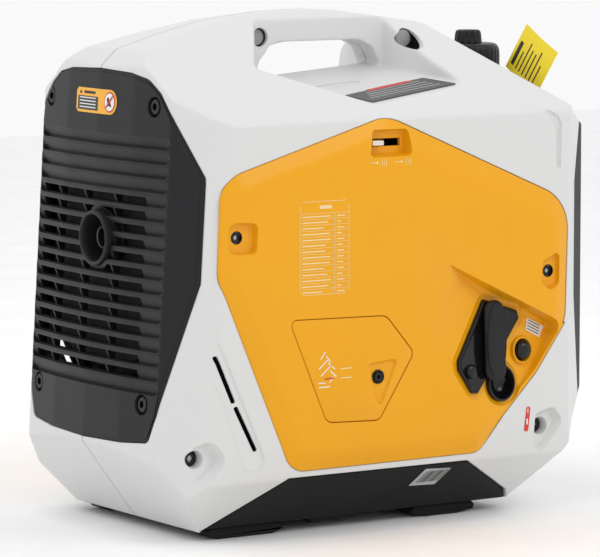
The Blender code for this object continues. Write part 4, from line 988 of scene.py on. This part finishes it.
def build_tag():
    foot = Vector((0.2, -0.05, 0.376))
    across = Vector((0.18, -0.824, -0.538)).normalized()
    up = Vector((0.127, -0.5335, 0.831)).normalized()
    up = (up - across * up.dot(across)).normalized()
    out = across.cross(up)

    def card(a, b, lift=0.0):
        bend = 0.006 * math.sin(math.pi * b / TAG_LENGTH) + 0.0016 * math.sin(math.pi * a / TAG_WIDTH + 1.2)
        lean = 0.004 * math.sin(math.pi * b / TAG_LENGTH)
        return foot + up * b + across * (a + lean) + out * (bend + lift)
    mesh = bmesh.new()
    grid = {}
    columns, rows = 16, 20
    for side, thick in enumerate((-0.0003, 0.0003)):
        for i in range(columns + 1):
            for j in range(rows + 1):
                grid[side, i, j] = mesh.verts.new(card(TAG_WIDTH * (i / columns - 0.5),
                    TAG_LENGTH * j / rows, thick))
        for i in range(columns):
            for j in range(rows):
                mesh.faces.new([grid[side, i, j], grid[side, i + 1, j], grid[side, i + 1, j + 1],
                    grid[side, i, j + 1]])
    for i in range(columns):
        for j in (0, rows):
            mesh.faces.new([grid[0, i, j], grid[0, i + 1, j], grid[1, i + 1, j], grid[1, i, j]])
    for j in range(rows):
        for i in (0, columns):
            mesh.faces.new([grid[0, i, j], grid[0, i, j + 1], grid[1, i, j + 1], grid[1, i, j]])
    bmesh.ops.recalc_face_normals(mesh, faces=mesh.faces)
    data = bpy.data.meshes.new("card")
    mesh.to_mesh(data)
    mesh.free()
    wear(link("card", data), "filler_tag", CARD, ("hang_tag",), 50)
    for label, sign in (("front", 1), ("back", -1)):
        bars = [bar(-0.019, 0.008, 0.0042, 0.025)]
        bars += [bar(-0.0115 + 0.0048 * k, 0.007, 0.0014, 0.02 + 0.011 * abs(math.sin(1.9 * k)))
            for k in range(6)]
        printed("filler_tag_lines_" + label, bars, lambda a, b: card(a, b, sign * 0.00042), INK, PRINT_STEP)


# ---------------------------------------------------------------- base
def build_base():
    pan = common(prism("pan", BASE_SIDE, "Y", -0.2, 0.2), prism("end", CASING_END, "X", -0.3, 0.3))
    softened(pan, 0.0016, 3)
    wear(pan, "base_tray", BASE, ("base_pan",), 40)
    for place_name, profile in (("rear", REAR_FOOT), ("front", FRONT_FOOT)):
        for tag, y in (("right", -0.0865), ("left", 0.0865)):
            across = ((-0.0145, 0.001), (-0.014, 0.0004), (-0.013, 0.0), (0.013, 0.0), (0.014, 0.0004),
                (0.0145, 0.001))
            foot = from_rings("foot",
                [[(x, y + dy, z) for x, z in shrunk([(a, b, 0.004) for a, b in profile], d, 4, 0.001)]
                for dy, d in across])
            wear(foot, "pad_%s_%s" % (place_name, tag), RUBBER, ("foot_%s_%s" % (place_name, tag),))
    stub = from_rings("stub",
        [[(a, b, z) for a, b in shrunk([(-0.058, -0.098, 0.003), (-0.022, -0.098, 0.003),
        (-0.022, 0.098, 0.003), (-0.058, 0.098, 0.003)], d, 4)] for d, z in ((0.002, 0.0052), (0.0, 0.0066),
        (0.0, 0.0102))])
    wear(stub, "base_stub", BASE)
    spot = surface(bpy.data.objects["base_tray"], "Y", -1, 0.0004)
    ink = surface(bpy.data.objects["base_tray"], "Y", -1, 0.0006)
    printed("base_label", [[(0.0285, 0.0335), (0.0565, 0.0325), (0.0665, 0.0475), (0.039, 0.049)]], spot,
        LABEL_GREY, PRINT_STEP)
    bars = []
    for k in range(9):
        x = 0.0345 + 0.003 * k
        bars.append([(x, 0.036), (x + 0.001 + 0.0006 * (k % 3), 0.036),
            (x + 0.008 + 0.0006 * (k % 3), 0.0465), (x + 0.007, 0.0465)])
    printed("base_label_bars", bars, ink, INK, PRINT_STEP)


# ---------------------------------------------------------------- control panel end
def build_front(outer):
    zone = prism("zone", offset(PANEL_SIDE, -GAP), "Y", -0.2, 0.2)
    panel = common(copy(outer, "panel"), zone)
    cut(panel, casing_form(0.0045), prism("window", CONTROL_WINDOW, "X", 0.1, 0.3))
    wear(panel, "front_frame", PANEL, ("front_panel",), 35)
    corners = [(y, z, 0.005) for y, z in CONTROL_WINDOW]
    bezel_levels = ((-0.004, 0.2262), (-0.004, 0.2285), (-0.003, 0.2292), (0.0004, 0.2292), (0.001, 0.2284),
        (0.0012, 0.2222))
    bezel = from_rings("bezel",
        [[(x - 0.0012, y, z) for y, z in shrunk(corners, d)] for d, x in bezel_levels], True)
    wear(bezel, "control_bezel", BLACK)
    for name, (y, z), radius in (("ac_1", AC_SOCKETS[0], 0.0262), ("ac_2", AC_SOCKETS[1], 0.0262),
            ("dc", DC_SOCKET, 0.016)):
        ring = turned("ring", [(0.2216, radius), (0.2236, radius), (0.2242, radius - 0.0008),
            (0.2242, radius - 0.0016), (0.2216, radius - 0.002)], "X", (y, z), 56, True)
        wear(ring, "socket_ring_" + name, BLACK)

    def face(y, z):
        return Vector((0.2218, y, z))

    marks = [bar(-0.062, 0.286, 0.044, 0.0016), bar(0.03, 0.286, 0.028, 0.0016),
        bar(-0.06, 0.244, 0.024, 0.0014), bar(-0.01, 0.239, 0.02, 0.0014), bar(0.032, 0.239, 0.024, 0.0014),
        bar(-0.058, 0.196, 0.044, 0.0014), bar(0.014, 0.196, 0.044, 0.0014),
        bar(-0.006, 0.1525, 0.012, 0.0012)]
    printed("control_marks", marks, face, LABEL_WHITE)
    for k, (y, material) in enumerate(((-0.053, RED_LENS), (-0.04, RED_LENS), (-0.027, GREEN_LENS))):
        lens = turned("lens", [(0.2226, 0.0036), (0.2238, 0.0035), (0.2246, 0.0028), (0.225, 0.0014)], "X",
            (y, LAMP_Z), 32)
        wear(lens, "lamp_%d" % k, material)
    for number, (y, z) in enumerate(((-0.071, 0.135), (0.071, 0.135), (-0.071, 0.293), (0.071, 0.293))):
        screw("panel_screw_%d" % number, (0.222, y, z), (1, 0, 0), 0.0032)
    for name in ("eco_rocker", "run_switch"):
        bevelled(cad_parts[name], 0.0005)


def bevelled(thing, width, segments=3):
    """Round the edges of a CAD piece that stays, without touching its mesh."""
    step = thing.modifiers.new("edges", "BEVEL")
    step.width = width
    step.segments = segments
    step.limit_method = "ANGLE"
    step.angle_limit = math.radians(35)
    step.harden_normals = False
    return thing


def dress_internals():
    """Give every CAD piece that is kept its material and the width of its bevel."""
    for material, width, names in (
            (CAST, 0.0015, "crankcase"), (CAST, 0.0004, "cylinder cylinder_head"),
            (CAST, 0.0008, "carburettor"), (CAST, 0.0003, "inverter_module"), (STEEL, 0.0004, "piston"),
            (STEEL, 0.0005, "crankshaft"), (STEEL, 0.0006, "alternator_rotor"),
            (COPPER, 0.0003, "alternator_stator"), (PANEL, 0.0003, "flywheel_fan"),
            (PANEL, 0.0005, "starter_housing"), (PANEL, 0.001, "air_filter_box"),
            (PANEL, 0.0008, "ignition_coil"), (GREY, 0.0004, "starter_pulley"),
            (GREY, 0.0003, "control_plate"), (LABEL_WHITE, 0.0003, "spark_plug"),
            (ORANGE, 0.0005, "oil_dipstick"), (HOT_STEEL, 0.0015, "muffler"),
            (RUBBER, 0.0005, "spark_plug_cap engine_mount_1 engine_mount_2 engine_mount_3 engine_mount_4"),
            (TANK, 0.0015, "fuel_tank"), (GLOSS, 0.0003, "ac_socket_1 ac_socket_2 dc_socket"),
            (RED_LENS, 0.0003, "breaker_button"), (CAP, 0.0, "eco_rocker run_switch"),
            (LABEL_BLACK, 0.0004, "status_lamps"), (BRASS, 0.0003, "ground_terminal")):
        for name in names.split():
            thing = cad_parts[name]
            thing.data.materials.clear()
            thing.data.materials.append(material)
            if width:
                bevelled(thing, width)


# ---------------------------------------------------------------- floor, light, camera
def build_stage():
    floor = from_rings("floor",
        [[(-4.0, -4.0, -0.02), (4.0, -4.0, -0.02), (4.0, 4.0, -0.02), (-4.0, 4.0, -0.02)],
        [(-4.0, -4.0, 0.0), (4.0, -4.0, 0.0), (4.0, 4.0, 0.0), (-4.0, 4.0, 0.0)]])
    floor.data.materials.append(finish("floor_paper", (0.93, 0.93, 0.93), 0.8, edge=0, bump=0.01))
    world = bpy.data.worlds.new("studio")
    world.use_nodes = True
    world.node_tree.nodes["Background"].inputs["Color"].default_value = (1.0, 1.0, 1.0, 1.0)
    world.node_tree.nodes["Background"].inputs["Strength"].default_value = 0.95
    bpy.context.scene.world = world
    for name, spot, size, power in (("key", (0.9, -2.0, 2.3), 1.2, 13.0),
            ("top", (-0.5, 0.4, 2.4), 1.6, 7.0), ("rear", (-2.4, 0.2, 1.2), 0.8, 2.5)):
        light = bpy.data.lights.new(name, "AREA")
        light.size = size
        light.energy = power
        lamp = bpy.data.objects.new(name, light)
        bpy.context.scene.collection.objects.link(lamp)
        lamp.location = spot
        lamp.rotation_euler = (Vector((0.0, 0.0, 0.2)) - Vector(spot)).to_track_quat("-Z", "Y").to_euler()
    camera = bpy.data.objects.new("camera", bpy.data.cameras.new("camera"))
    bpy.context.scene.collection.objects.link(camera)
    camera.data.lens = 243.9
    camera.data.sensor_width = 36.0
    azimuth, elevation, distance = math.radians(-33.0), math.radians(6.3), 3.597
    back = Vector((math.sin(azimuth) * math.cos(elevation), -math.cos(azimuth) * math.cos(elevation),
        math.sin(elevation)))
    camera.location = Vector((-0.004, 0.0, 0.205)) + back * distance
    camera.rotation_euler = (math.pi / 2 - elevation, 0.0, azimuth)
    bpy.context.scene.camera = camera
    bpy.context.scene.view_settings.view_transform = "Standard"


OUTER = softened(casing_form(), 0.002, 6)
build_shells(OUTER)
build_hidden_plugs()
build_grille(OUTER)
build_front(OUTER)
drop(OUTER)
build_covers()
build_deck_plate()
build_cap()
build_tag()
build_base()
dress_internals()
build_stage()
